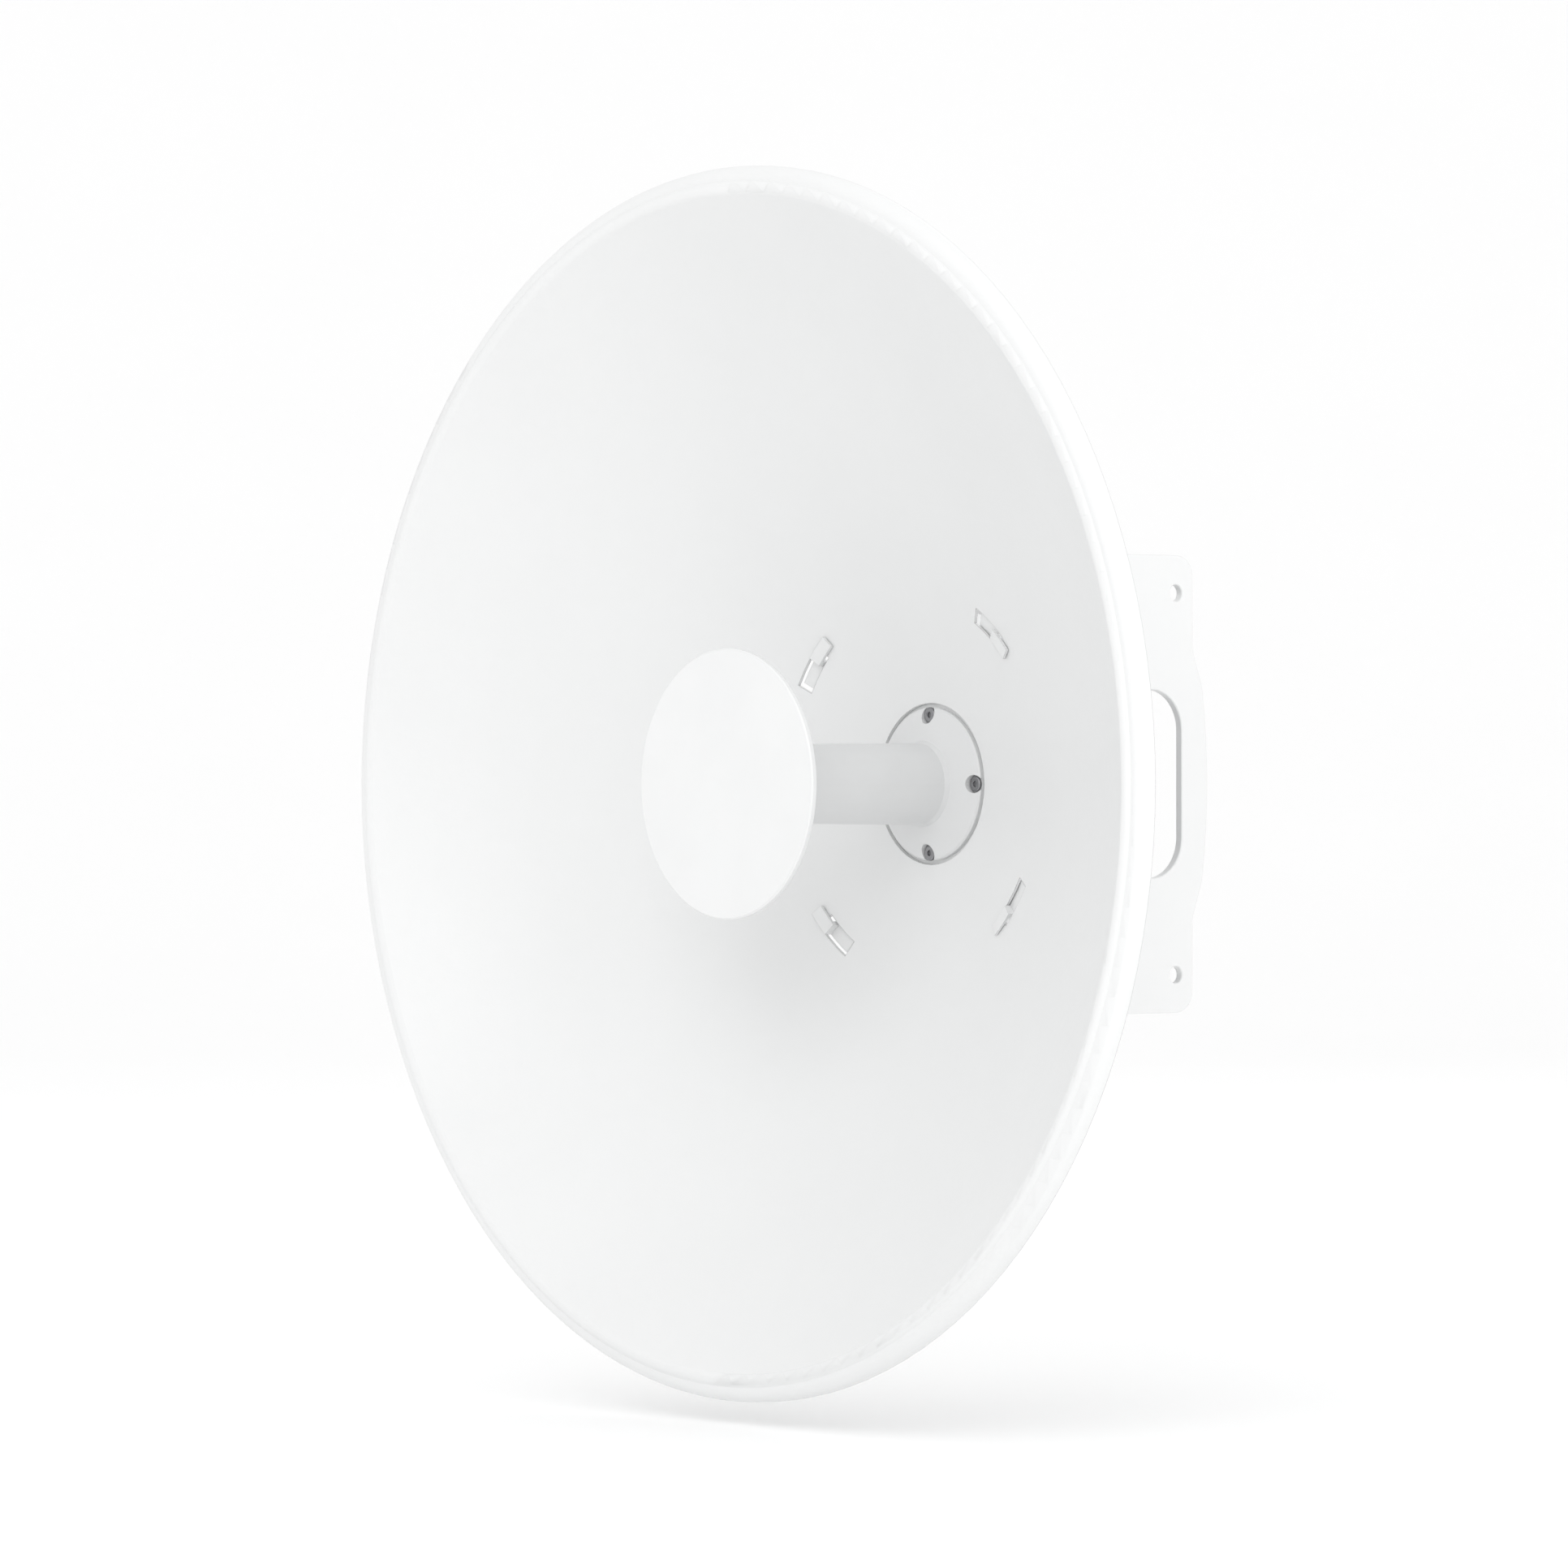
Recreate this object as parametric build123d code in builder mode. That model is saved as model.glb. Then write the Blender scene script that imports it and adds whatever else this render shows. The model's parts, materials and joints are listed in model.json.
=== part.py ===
"""Outdoor wireless bridge: 650 mm dish antenna with its radio, tilt bracket and pole clamp.

Millimetres. +Z is up, the dish faces -Y. The origin is on the pole axis, at the height
of the dish axis and the tilt pivot.
"""
import math
import os

from build123d import *

os.makedirs("parts", exist_ok=True)

# ---------------------------------------------------------------- driving dimensions
dish_r = 325.0            # outer edge of the rolled rim
sheet = 1.5               # reflector sheet
dish_depth = 144.0        # aperture plane to the feed seat edge
pole_r = 25.0             # pole the clamp is made for
pole_to_seat = pole_r + 78.0  # pole axis to the edge of the feed seat

fit_gap = 0.05            # running fit, per side
slide_gap = 0.5           # loose clearance, per side
touch_gap = 0.7           # clearance between the bayonet parts

plate = 4.5               # tilt bracket sheet
bracket_x = 65.0          # outer face of the tilt bracket sides
plate_half_z = 124.0      # half height of the tilt bracket sides
pivot_y = -pole_r - 25.0  # tilt pivot, from the pole axis
lock_r = 72.0             # lock bolts, from the pivot
lock_travel = 17.0        # half length of the arc slots, degrees

feed_flange_r = 41.2
feed_ring_gap = 2.3       # open ring between the flange and the edge of the seat
feed_screw_pcr = 37.2
feed_screw_r = 2.5
tube_root_r = 22.0
tube_tip_r = 21.0
disk_r = 71.4

radio_x = 42.0            # half width of the radio
radio_z = 55.0            # half height of the radio
wall = 2.5

# ---------------------------------------------------------------- derived positions
seat_edge_y = -pole_to_seat
aperture_y = seat_edge_y - dish_depth
seat_r = feed_flange_r + feed_ring_gap
bowl_end_r = dish_r - 15.11
bowl_end_y = aperture_y - 0.3
focal = (bowl_end_r ** 2 - seat_r ** 2) / (4 * (seat_edge_y - bowl_end_y))
apex_y = seat_edge_y + seat_r ** 2 / (4 * focal)
seat_y = seat_edge_y + 2.3
seat_back_y = seat_y + sheet

ring_in = math.hypot(radio_x, radio_z) + 2.8
ring_out = ring_in + 24.0
ring_sheet = 2.5
bayonet_r = ring_out + 7.5  # middle of the lock windows
bayonet_w = 7.0           # radial width of a hook
window_start = 46.0       # degrees from +X towards +Z
window_sweep = 14.0
window_gap = 1.0          # between a hook and the sides of its window
hook_start = 41.5
neck_at = 48.4
hook_end = 58.8
quarter_turns = [0, 90, 180, 270]

ring_depth = 19.2         # bowl to the bracket web, at the outside of the ring
ring_bolt_r = ring_in + 9.0
ring_bolt_angles = [55, 125, 235, 305]

shell_back_y = seat_back_y + 19.2
board_y = seat_back_y + 12.0
cover_back_y = shell_back_y + 12.0

port_door_half_x = 13.5
hinge_y = cover_back_y - 3.0
hinge_z = -radio_z - 2.6
door_front_y = board_y - 6.0
door_reach = hinge_y - door_front_y + 1.5  # swept by the door's far edge, with room to spare

cheek_out = bracket_x - plate - slide_gap
cheek = 4.0
cheek_half_z = 84.0
stay_y = -pole_r - 6.0    # rear face of the pole bracket web
saddle_z = 68.0
saddle_h = 26.0
saddle_split = 8.0        # half the gap between a pair of saddles
clamp_bolt_x = pole_r + 9.0
saddle_half_x = clamp_bolt_x + 12.0
saddle_nut_y = pole_r + 8.0  # rear seat of the clamp nuts, from the pole axis
bolt_end_y = saddle_nut_y + 17.0
m8_r = 4.0
m8_flats = 13.0
m8_head = 5.3
m8_nut = 6.8
washer_t = 1.6

hinge_turn = Axis((0, 0, 0), (0, -1, 0))


def bowl_y(r):
    """Front surface of the bowl at radius r."""
    return apex_y - r * r / (4 * focal)


web_y = bowl_y(ring_out) + ring_depth


def slope_at(r):
    """Forward slope of the bowl at radius r."""
    return r / (2 * focal)


def lean(r):
    """Length of the bowl's normal, per unit of +Y, at radius r."""
    return math.sqrt(1 + slope_at(r) ** 2)


def sheet_back(r):
    """Rear surface of the bowl sheet at radius r."""
    return bowl_y(r) + sheet * lean(r)


def radial_plane(angle):
    """Half plane through the dish axis: local x is the radius, local y is +Y."""
    c = math.cos(math.radians(angle))
    s = math.sin(math.radians(angle))
    return Plane(origin=(0, 0, 0), x_dir=(c, 0, s), z_dir=(-s, 0, c))


def sector(points, start, sweep, mode=Mode.ADD):
    """Profile turned about the dish axis from start through sweep degrees."""
    with BuildSketch(radial_plane(start)) as profile:
        with BuildLine():
            Polyline(*points, close=True)
        make_face()
    revolve(profile.sketch, axis=hinge_turn, revolution_arc=sweep, mode=mode)


def turned(points, mode=Mode.ADD):
    """Closed profile turned fully about the dish axis."""
    with BuildSketch(Plane.XY) as profile:
        with BuildLine():
            Polyline(*points, close=True)
        make_face()
    revolve(profile.sketch, axis=Axis.Y, mode=mode)


def hex_bolt(seat, shank_r, length, flats, head):
    """Bolt whose head stands on the seat plane and whose shank goes the other way."""
    with BuildSketch(seat) as hexagon:
        RegularPolygon(flats / 2, 6, major_radius=False)
    extrude(hexagon.sketch, amount=head)
    with BuildSketch(seat) as shank:
        Circle(shank_r)
    extrude(shank.sketch, amount=-length)


def hex_nut(seat, bore_r, flats, height):
    """Nut standing on the seat plane."""
    with BuildSketch(seat) as hexagon:
        RegularPolygon(flats / 2, 6, major_radius=False)
        Circle(bore_r, mode=Mode.SUBTRACT)
    extrude(hexagon.sketch, amount=height)


def washer(seat, bore_r, outer_r, thick):
    """Flat washer standing on the seat plane."""
    with BuildSketch(seat) as ring:
        Circle(outer_r)
        Circle(bore_r, mode=Mode.SUBTRACT)
    extrude(ring.sketch, amount=thick)


def disc(seat, r, length, mode=Mode.ADD):
    """Round bar or hole from the seat plane along its normal."""
    with BuildSketch(seat) as round_face:
        Circle(r)
    extrude(round_face.sketch, amount=length, mode=mode)


def facing(x, y, z, normal):
    """Plane at a point, looking along the normal."""
    return Plane(origin=(x, y, z), z_dir=normal)


def polar_xz(r, angle):
    """Point (x, z) on a circle about the dish axis."""
    return (r * math.cos(math.radians(angle)), r * math.sin(math.radians(angle)))


# ---------------------------------------------------------------- reflector
crest_r = 5.0
crease_r = 0.8
lip_r = 7.0
skirt_y = aperture_y + 9.0
back_r = seat_r + sheet
back_end = (bowl_end_r + sheet * slope_at(bowl_end_r) / lean(bowl_end_r),
            bowl_end_y + sheet / lean(bowl_end_r))


def tangent_meet(r1, y1, slope1, r2, y2, slope2):
    """Point where two tangent lines of a profile cross."""
    r = (y2 - y1 + slope1 * r1 - slope2 * r2) / (slope1 - slope2)
    return (r, y1 + slope1 * (r - r1))


with BuildPart() as reflector:
    with BuildSketch(Plane.XY):
        with BuildLine():
            Polyline((18, seat_y), (seat_r, seat_y), (seat_r, bowl_y(seat_r)))
            front_mid = tangent_meet(
                seat_r, bowl_y(seat_r), -slope_at(seat_r),
                bowl_end_r, bowl_end_y, -slope_at(bowl_end_r))
            bowl = Bezier((seat_r, bowl_y(seat_r)), front_mid, (bowl_end_r, bowl_end_y))
            crest = JernArc(bowl @ 1, bowl % 1, crest_r, 86.0)
            crease = JernArc(crest @ 1, crest % 1, crease_r, -48.0)
            lip = JernArc(crease @ 1, crease % 1, lip_r, 94.0)
            back_mid = tangent_meet(
                back_r, sheet_back(back_r), -slope_at(back_r),
                back_end[0], back_end[1], -slope_at(bowl_end_r))
            back_bowl = Bezier((back_r, sheet_back(back_r)), back_mid, back_end)
            back_crest = JernArc(back_bowl @ 1, back_bowl % 1, crest_r - sheet, 86.0)
            back_crease = JernArc(back_crest @ 1, back_crest % 1, crease_r + sheet, -48.0)
            back_lip = JernArc(back_crease @ 1, back_crease % 1, lip_r - sheet, 94.0)
            Polyline(
                lip @ 1, ((lip @ 1).X, skirt_y), ((back_lip @ 1).X, skirt_y), back_lip @ 1)
            Polyline(
                (18, seat_y), (18, seat_back_y), (back_r, seat_back_y),
                (back_r, sheet_back(back_r)))
        make_face()
    revolve(axis=Axis.Y)
    with BuildSketch(Plane.XZ.offset(-seat_back_y - 1)):
        with PolarLocations(feed_screw_pcr, 4):
            Circle(feed_screw_r + 0.3)
    extrude(amount=6, mode=Mode.SUBTRACT)
    window_in = bayonet_r - bayonet_w / 2 - window_gap
    window_out = bayonet_r + bayonet_w / 2 + window_gap
    for turn in quarter_turns:
        sector(
            [(window_in, bowl_y(bayonet_r) - 12), (window_out, bowl_y(bayonet_r) - 12),
             (window_out, bowl_y(bayonet_r) + 12), (window_in, bowl_y(bayonet_r) + 12)],
            window_start + turn, window_sweep, mode=Mode.SUBTRACT)
reflector.part.label = "reflector"
export_step(reflector.part, "parts/reflector.step")

# ---------------------------------------------------------------- feed
tube_root_y = seat_edge_y - 6.0
tube_tip_y = aperture_y + 26.0
tube_bore_r = 19.0
guide_r = 13.0
groove_in = 25.0
groove_out = 31.0
screw_head_r = 4.25
screw_well_r = screw_head_r + 0.6  # wider than the land outside it, so each well opens there
screw_seat_y = seat_y - 1.9

with BuildPart() as feed_base:
    turned([
        (tube_bore_r, seat_y), (feed_flange_r, seat_y), (feed_flange_r, seat_y - 2.6),
        (feed_flange_r - 0.8, seat_y - 3.4), (32.0, seat_y - 6.2), (tube_root_r + 4, tube_root_y),
        (tube_root_r + 1.2, tube_root_y - 0.9), (tube_root_r, tube_root_y - 3.4),
        (tube_tip_r, tube_tip_y), (tube_bore_r, tube_tip_y)])
    turned([
        (groove_in, seat_y), (groove_out, seat_y), (groove_out, seat_y - 1.0),
        (groove_in, seat_y - 1.0)], mode=Mode.SUBTRACT)
    for turn in quarter_turns:
        x, z = polar_xz(feed_screw_pcr, turn)
        disc(facing(x, screw_seat_y, z, (0, -1, 0)), screw_well_r, 8, mode=Mode.SUBTRACT)
        disc(facing(x, seat_y + 1, z, (0, -1, 0)), feed_screw_r + 0.15, 8, mode=Mode.SUBTRACT)
feed_base.part.label = "feed_base"
export_step(feed_base.part, "parts/feed_base.step")

with BuildPart() as feed_gasket:
    turned([
        (groove_in, seat_y), (groove_out, seat_y), (groove_out, seat_y - 1.0),
        (groove_in, seat_y - 1.0)])
feed_gasket.part.label = "feed_gasket"
export_step(feed_gasket.part, "parts/feed_gasket.step")

screw_head = 1.9
with BuildPart() as feed_screws:
    for turn in quarter_turns:
        x, z = polar_xz(feed_screw_pcr, turn)
        disc(facing(x, screw_seat_y, z, (0, -1, 0)), screw_head_r, screw_head)
        disc(facing(x, screw_seat_y, z, (0, 1, 0)), feed_screw_r, 14)
        with BuildSketch(facing(x, screw_seat_y - screw_head, z, (0, 1, 0))):
            RegularPolygon(1.7, 6)
        extrude(amount=1.3, mode=Mode.SUBTRACT)
feed_screws.part.label = "feed_screws"
export_step(feed_screws.part, "parts/feed_screws.step")

# splash plate head: cover, metal plate, cone that carries them on the tube
disk_y = aperture_y + 0.8
plate_y = disk_y + 1.4
cone_y = disk_y + 2.4
disk_rim_y = disk_y + 3.0
with BuildPart() as disk_cover:
    turned([
        (0, disk_y), (disk_r - 0.8, disk_y), (disk_r, disk_y + 0.8), (disk_r, disk_rim_y),
        (disk_r - 2.2, disk_rim_y), (disk_r - 2.2, plate_y), (0, plate_y)])
disk_cover.part.label = "disk_cover"
export_step(disk_cover.part, "parts/disk_cover.step")

with BuildPart() as splash_plate:
    turned([
        (0, plate_y), (disk_r - 2.3, plate_y), (disk_r - 2.3, cone_y), (9, cone_y),
        (0, cone_y + 6)])
splash_plate.part.label = "splash_plate"
export_step(splash_plate.part, "parts/splash_plate.step")

with BuildPart() as feed_cone:
    turned([
        (12, cone_y + 0.1), (disk_r - 2.3, cone_y + 0.1), (disk_r - 2.3, cone_y + 1.6),
        (44, cone_y + 6.5), (tube_tip_r + 1, tube_tip_y - 1.5), (tube_tip_r, tube_tip_y),
        (tube_bore_r, tube_tip_y), (tube_bore_r, tube_tip_y + 12), (17, tube_tip_y + 12),
        (17, tube_tip_y - 4), (42, cone_y + 3.6), (60, cone_y + 1.8), (12, cone_y + 1.8)])
feed_cone.part.label = "feed_cone"
export_step(feed_cone.part, "parts/feed_cone.step")

guide_tip_y = tube_tip_y + 8
guide_bore_r = 11.0
flange_y = seat_back_y + 3.0
with BuildPart() as waveguide:
    turned([
        (guide_bore_r, guide_tip_y), (guide_r, guide_tip_y), (guide_r, flange_y),
        (18, flange_y), (18, flange_y + 2.5), (guide_bore_r, flange_y + 2.5)])
waveguide.part.label = "waveguide"
export_step(waveguide.part, "parts/waveguide.step")

with BuildPart() as guide_spacers:
    for start in (tube_tip_y + 30, tube_root_y - 20):
        turned([
            (guide_r, start), (tube_bore_r, start), (tube_bore_r, start + 8),
            (guide_r, start + 8)])
guide_spacers.part.label = "guide_spacers"
export_step(guide_spacers.part, "parts/guide_spacers.step")

with BuildPart() as feed_lens:
    turned([
        (0, cone_y + 7), (9, cone_y + 2.2), (15, cone_y + 2.2), (16, guide_tip_y - 1),
        (guide_r, guide_tip_y - 0.5), (guide_bore_r, guide_tip_y - 0.5),
        (guide_bore_r, guide_tip_y + 12), (0, guide_tip_y + 30)])
feed_lens.part.label = "feed_lens"
export_step(feed_lens.part, "parts/feed_lens.step")

# ---------------------------------------------------------------- bayonet ring
ring_front_y = bowl_y(ring_out) + sheet + 1.6
rivet_r = 1.6
rivet_rows = (web_y - 4.5, web_y - 10.5)
rivet_angle = (neck_at + hook_end) / 2
with BuildPart() as mount_ring:
    turned([
        (ring_in, web_y - ring_sheet), (ring_out - ring_sheet, web_y - ring_sheet),
        (ring_out - ring_sheet, ring_front_y), (ring_out, ring_front_y), (ring_out, web_y),
        (ring_in, web_y)])
    for turn in ring_bolt_angles:
        x, z = polar_xz(ring_bolt_r, turn)
        disc(facing(x, web_y + 1, z, (0, -1, 0)), 3.0, 6, mode=Mode.SUBTRACT)
    for turn in quarter_turns:
        for y in rivet_rows:
            x, z = polar_xz(ring_out + 1, rivet_angle + turn)
            disc(facing(x, y, z, (-x, 0, -z)), rivet_r, 8, mode=Mode.SUBTRACT)
mount_ring.part.label = "mount_ring"
export_step(mount_ring.part, "parts/mount_ring.step")

hook_sheet = 1.6
hook_in = bayonet_r - bayonet_w / 2
hook_out = bayonet_r + bayonet_w / 2


def slanted(r_in, r_out, offset_in, thick):
    """Strip profile following the slope of the bowl, set back by an offset."""
    return [
        (r_in, bowl_y(r_in) + offset_in), (r_out, bowl_y(r_out) + offset_in),
        (r_out, bowl_y(r_out) + offset_in + thick), (r_in, bowl_y(r_in) + offset_in + thick)]


back_offset = sheet * 1.06 + touch_gap
nose_offset = -slide_gap - hook_sheet
with BuildPart() as lock_hooks:
    for turn in quarter_turns:
        sector(slanted(hook_in, hook_out, nose_offset, hook_sheet),
               hook_start + turn, neck_at + 1.0 - hook_start)
        sector(slanted(hook_in, hook_out, nose_offset, back_offset + 1.0 - nose_offset),
               neck_at + turn, 1.6)
        shelf_back = back_offset + hook_sheet
        sector([
            (ring_out, bowl_y(ring_out) + back_offset), (hook_out, bowl_y(hook_out) + back_offset),
            (hook_out, bowl_y(hook_out) + shelf_back),
            (ring_out + hook_sheet, bowl_y(ring_out + hook_sheet) + shelf_back),
            (ring_out + hook_sheet, web_y - 1), (ring_out, web_y - 1)],
            neck_at + 0.3 + turn, hook_end - neck_at - 0.3)
        for y in rivet_rows:
            x, z = polar_xz(ring_out + hook_sheet + 1, rivet_angle + turn)
            disc(facing(x, y, z, (-x, 0, -z)), rivet_r, 8, mode=Mode.SUBTRACT)
lock_hooks.part.label = "lock_hooks"
export_step(lock_hooks.part, "parts/lock_hooks.step")

with BuildPart() as hook_rivets:
    for turn in quarter_turns:
        for y in rivet_rows:
            x, z = polar_xz(ring_out + hook_sheet, rivet_angle + turn)
            disc(facing(x, y, z, (-x, 0, -z)), rivet_r, hook_sheet + ring_sheet + 0.6)
            disc(facing(x, y, z, (x, 0, z)), 2.8, 1.1)
hook_rivets.part.label = "hook_rivets"
export_step(hook_rivets.part, "parts/hook_rivets.step")

with BuildPart() as ring_bolts:
    for turn in ring_bolt_angles:
        x, z = polar_xz(ring_bolt_r, turn)
        hex_bolt(facing(x, web_y - ring_sheet, z, (0, -1, 0)), 3.0, 14, 10, 4.0)
ring_bolts.part.label = "ring_bolts"
export_step(ring_bolts.part, "parts/ring_bolts.step")

with BuildPart() as ring_nuts:
    for turn in ring_bolt_angles:
        x, z = polar_xz(ring_bolt_r, turn)
        hex_nut(facing(x, web_y + plate, z, (0, 1, 0)), 3.0, 10, 5.0)
ring_nuts.part.label = "ring_nuts"
export_step(ring_nuts.part, "parts/ring_nuts.step")

# ---------------------------------------------------------------- tilt bracket
rear_y = pole_r + 3.6     # rear edge of the sides
bulge = 10.8              # how far the edge swells behind the hand slot
hole_y = rear_y - 12.0
hole_z = plate_half_z - 20.5
hole_r = 4.5
grip_y = rear_y - 29.8    # hand slot centre
grip_w = 44.0
grip_h = 102.0
web_half_z = 80.0
bracket_corner = 12.0

lock_sweeps = [
    CenterArc((pivot_y, 0), lock_r, middle - lock_travel, 2 * lock_travel)
    for middle in (90, 270)]
lock_slots = [Face(Wire([sweep]).offset_2d(m8_r + touch_gap)) for sweep in lock_sweeps]

# the door swings down through this notch, to where its edge passes the web's rear face
door_notch = math.sqrt(door_reach ** 2 - (hinge_y - web_y - plate) ** 2)

with BuildPart() as tilt_bracket:
    for side in (-1, 1):
        outer = bracket_x if side > 0 else plate - bracket_x
        with BuildSketch(Plane.YZ.offset(outer)) as cheek_face:
            with BuildLine():
                swell = ThreePointArc(
                    (rear_y + 6.9, 53), (rear_y + bulge, 0), (rear_y + 6.9, -53))
                Polyline(
                    swell @ 1, (rear_y, -73), (rear_y, -plate_half_z),
                    (web_y + 28, -plate_half_z), (web_y + 9, -104),
                    (web_y + 9, -web_half_z - 7), (web_y, -web_half_z), (web_y, web_half_z),
                    (web_y + 9, web_half_z + 7), (web_y + 9, 104),
                    (web_y + 28, plate_half_z), (rear_y, plate_half_z), (rear_y, 73), swell @ 0)
            make_face()
            rear_corners = cheek_face.vertices().filter_by_position(
                Axis.X, rear_y - 0.1, rear_y + 7)
            fillet(rear_corners, bracket_corner)
            with Locations((hole_y, hole_z), (hole_y, -hole_z)):
                Circle(hole_r, mode=Mode.SUBTRACT)
            with Locations((grip_y, 0)):
                SlotOverall(grip_h, grip_w, rotation=90, mode=Mode.SUBTRACT)
            with Locations((pivot_y, 0)):
                Circle(m8_r + fit_gap, mode=Mode.SUBTRACT)
            add(lock_slots, mode=Mode.SUBTRACT)
        extrude(amount=-plate)
    with BuildSketch(Plane.XZ.offset(-web_y - plate)):
        Rectangle(2 * bracket_x - 2, 2 * web_half_z)
        RectangleRounded(2 * radio_x + 6, 2 * radio_z + 6, 9, mode=Mode.SUBTRACT)
        with Locations((0, hinge_z - door_notch / 2)):
            Rectangle(2 * port_door_half_x + 4, door_notch, mode=Mode.SUBTRACT)
        with Locations(*[polar_xz(ring_bolt_r, turn) for turn in ring_bolt_angles]):
            Circle(3.0, mode=Mode.SUBTRACT)
    extrude(amount=plate)
    bends = tilt_bracket.edges().filter_by(Axis.Z).group_by(Axis.Y)[0]
    fillet(bends.filter_by(lambda e: abs(abs(e.center().X) - bracket_x) < 0.1), 4.0)
    for side in (-1, 1):
        skin = tilt_bracket.faces().filter_by(Axis.X).sort_by(Axis.X)[-1 if side > 0 else 0]
        fillet(skin.inner_wires().edges(), 0.9)
    for angle in range(-15, 20, 5):
        for middle in (90, 270):
            turn = math.radians(middle + angle)
            tick = Plane(
                origin=(bracket_x, pivot_y + 82 * math.cos(turn), 82 * math.sin(turn)),
                x_dir=(0, math.cos(turn), math.sin(turn)), z_dir=(1, 0, 0))
            with BuildSketch(tick):
                Rectangle(6, 0.8)
            extrude(amount=-0.5, mode=Mode.SUBTRACT)
tilt_bracket.part.label = "tilt_bracket"
export_step(tilt_bracket.part, "parts/tilt_bracket.step")

# ---------------------------------------------------------------- pole side
with BuildPart() as pole_bracket:
    for inner in (-cheek_out, cheek_out - cheek):
        with BuildSketch(Plane.YZ.offset(inner)) as cheek_face:
            with Locations(((pivot_y - 13 + stay_y) / 2, 0)):
                Rectangle(stay_y - pivot_y + 13, 2 * cheek_half_z)
            fillet(cheek_face.vertices().group_by(Axis.X)[0], 9)
            with Locations((pivot_y, 0), (pivot_y, lock_r), (pivot_y, -lock_r)):
                Circle(m8_r, mode=Mode.SUBTRACT)
        extrude(amount=cheek)
    with BuildSketch(Plane.XZ.offset(-stay_y)):
        Rectangle(2 * cheek_out, 2 * cheek_half_z)
        RectangleRounded(56, 76, 8, mode=Mode.SUBTRACT)
        with GridLocations(2 * clamp_bolt_x, 2 * saddle_z, 2, 2):
            Circle(m8_r, mode=Mode.SUBTRACT)
    extrude(amount=cheek)
    bends = pole_bracket.edges().filter_by(Axis.Z).group_by(Axis.Y)[-1]
    fillet(bends.filter_by(lambda e: abs(abs(e.center().X) - cheek_out) < 0.1), 3.5)
pole_bracket.part.label = "pole_bracket"
export_step(pole_bracket.part, "parts/pole_bracket.step")

bolt_seat_x = bracket_x + fit_gap + washer_t
tilt_bolt_l = bolt_seat_x - cheek_out + cheek + m8_nut + 1.5
with BuildPart() as pivot_bolts:
    for side in (-1, 1):
        hex_bolt(facing(side * bolt_seat_x, pivot_y, 0, (side, 0, 0)), m8_r, tilt_bolt_l,
                 m8_flats, m8_head)
pivot_bolts.part.label = "pivot_bolts"
export_step(pivot_bolts.part, "parts/pivot_bolts.step")

with BuildPart() as lock_bolts:
    for side in (-1, 1):
        for z in (-lock_r, lock_r):
            hex_bolt(facing(side * bolt_seat_x, pivot_y, z, (side, 0, 0)), m8_r, tilt_bolt_l,
                     m8_flats, m8_head)
lock_bolts.part.label = "lock_bolts"
export_step(lock_bolts.part, "parts/lock_bolts.step")

with BuildPart() as tilt_washers:
    for side in (-1, 1):
        for z in (-lock_r, 0, lock_r):
            washer(facing(side * (bracket_x + fit_gap), pivot_y, z, (side, 0, 0)),
                   m8_r, 9.0, washer_t)
tilt_washers.part.label = "tilt_washers"
export_step(tilt_washers.part, "parts/tilt_washers.step")

with BuildPart() as tilt_nuts:
    for side in (-1, 1):
        for z in (-lock_r, 0, lock_r):
            hex_nut(facing(side * (cheek_out - cheek), pivot_y, z, (-side, 0, 0)), m8_r,
                    m8_flats, m8_nut)
tilt_nuts.part.label = "tilt_nuts"
export_step(tilt_nuts.part, "parts/tilt_nuts.step")

def saddle(z, near, far):
    """Clamp jaw between two distances from the pole axis, on the side given by their sign."""
    mid = near + (far - near) * 0.5
    with BuildSketch(Plane.XY.offset(z - saddle_h / 2)) as jaw:
        Polygon(
            (1 - pole_r, near), (pole_r - 1, near), (saddle_half_x, mid), (saddle_half_x, far),
            (-saddle_half_x, far), (-saddle_half_x, mid), align=None)
        Circle(pole_r, mode=Mode.SUBTRACT)
        for turn in range(-48, 49, 8):
            around = math.radians(turn) + math.copysign(math.pi / 2, near)
            groove = (pole_r * math.cos(around), pole_r * math.sin(around))
            with Locations(groove):
                Circle(0.7, mode=Mode.SUBTRACT)
    extrude(jaw.sketch, amount=saddle_h)
    for x in (-clamp_bolt_x, clamp_bolt_x):
        bore = m8_r if near < 0 else m8_r + slide_gap
        disc(facing(x, stay_y, z, (0, 1, 0)), bore, bolt_end_y - stay_y, mode=Mode.SUBTRACT)


with BuildPart() as front_saddles:
    for z in (-saddle_z, saddle_z):
        saddle(z, -saddle_split, stay_y)
front_saddles.part.label = "front_saddles"
export_step(front_saddles.part, "parts/front_saddles.step")

with BuildPart() as clamp_bolts:
    for x in (-clamp_bolt_x, clamp_bolt_x):
        for z in (-saddle_z, saddle_z):
            hex_bolt(facing(x, stay_y - cheek, z, (0, -1, 0)), m8_r, bolt_end_y - stay_y + cheek,
                     m8_flats, m8_head)
clamp_bolts.part.label = "clamp_bolts"
export_step(clamp_bolts.part, "parts/clamp_bolts.step")

with BuildPart() as upper_saddle:
    saddle(saddle_z, saddle_split, saddle_nut_y)
upper_saddle.part.label = "upper_saddle"
export_step(upper_saddle.part, "parts/upper_saddle.step")

with BuildPart() as upper_washers:
    for x in (-clamp_bolt_x, clamp_bolt_x):
        washer(facing(x, saddle_nut_y, saddle_z, (0, 1, 0)), m8_r + slide_gap, 8.5, washer_t)
upper_washers.part.label = "upper_washers"
export_step(upper_washers.part, "parts/upper_washers.step")

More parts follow.
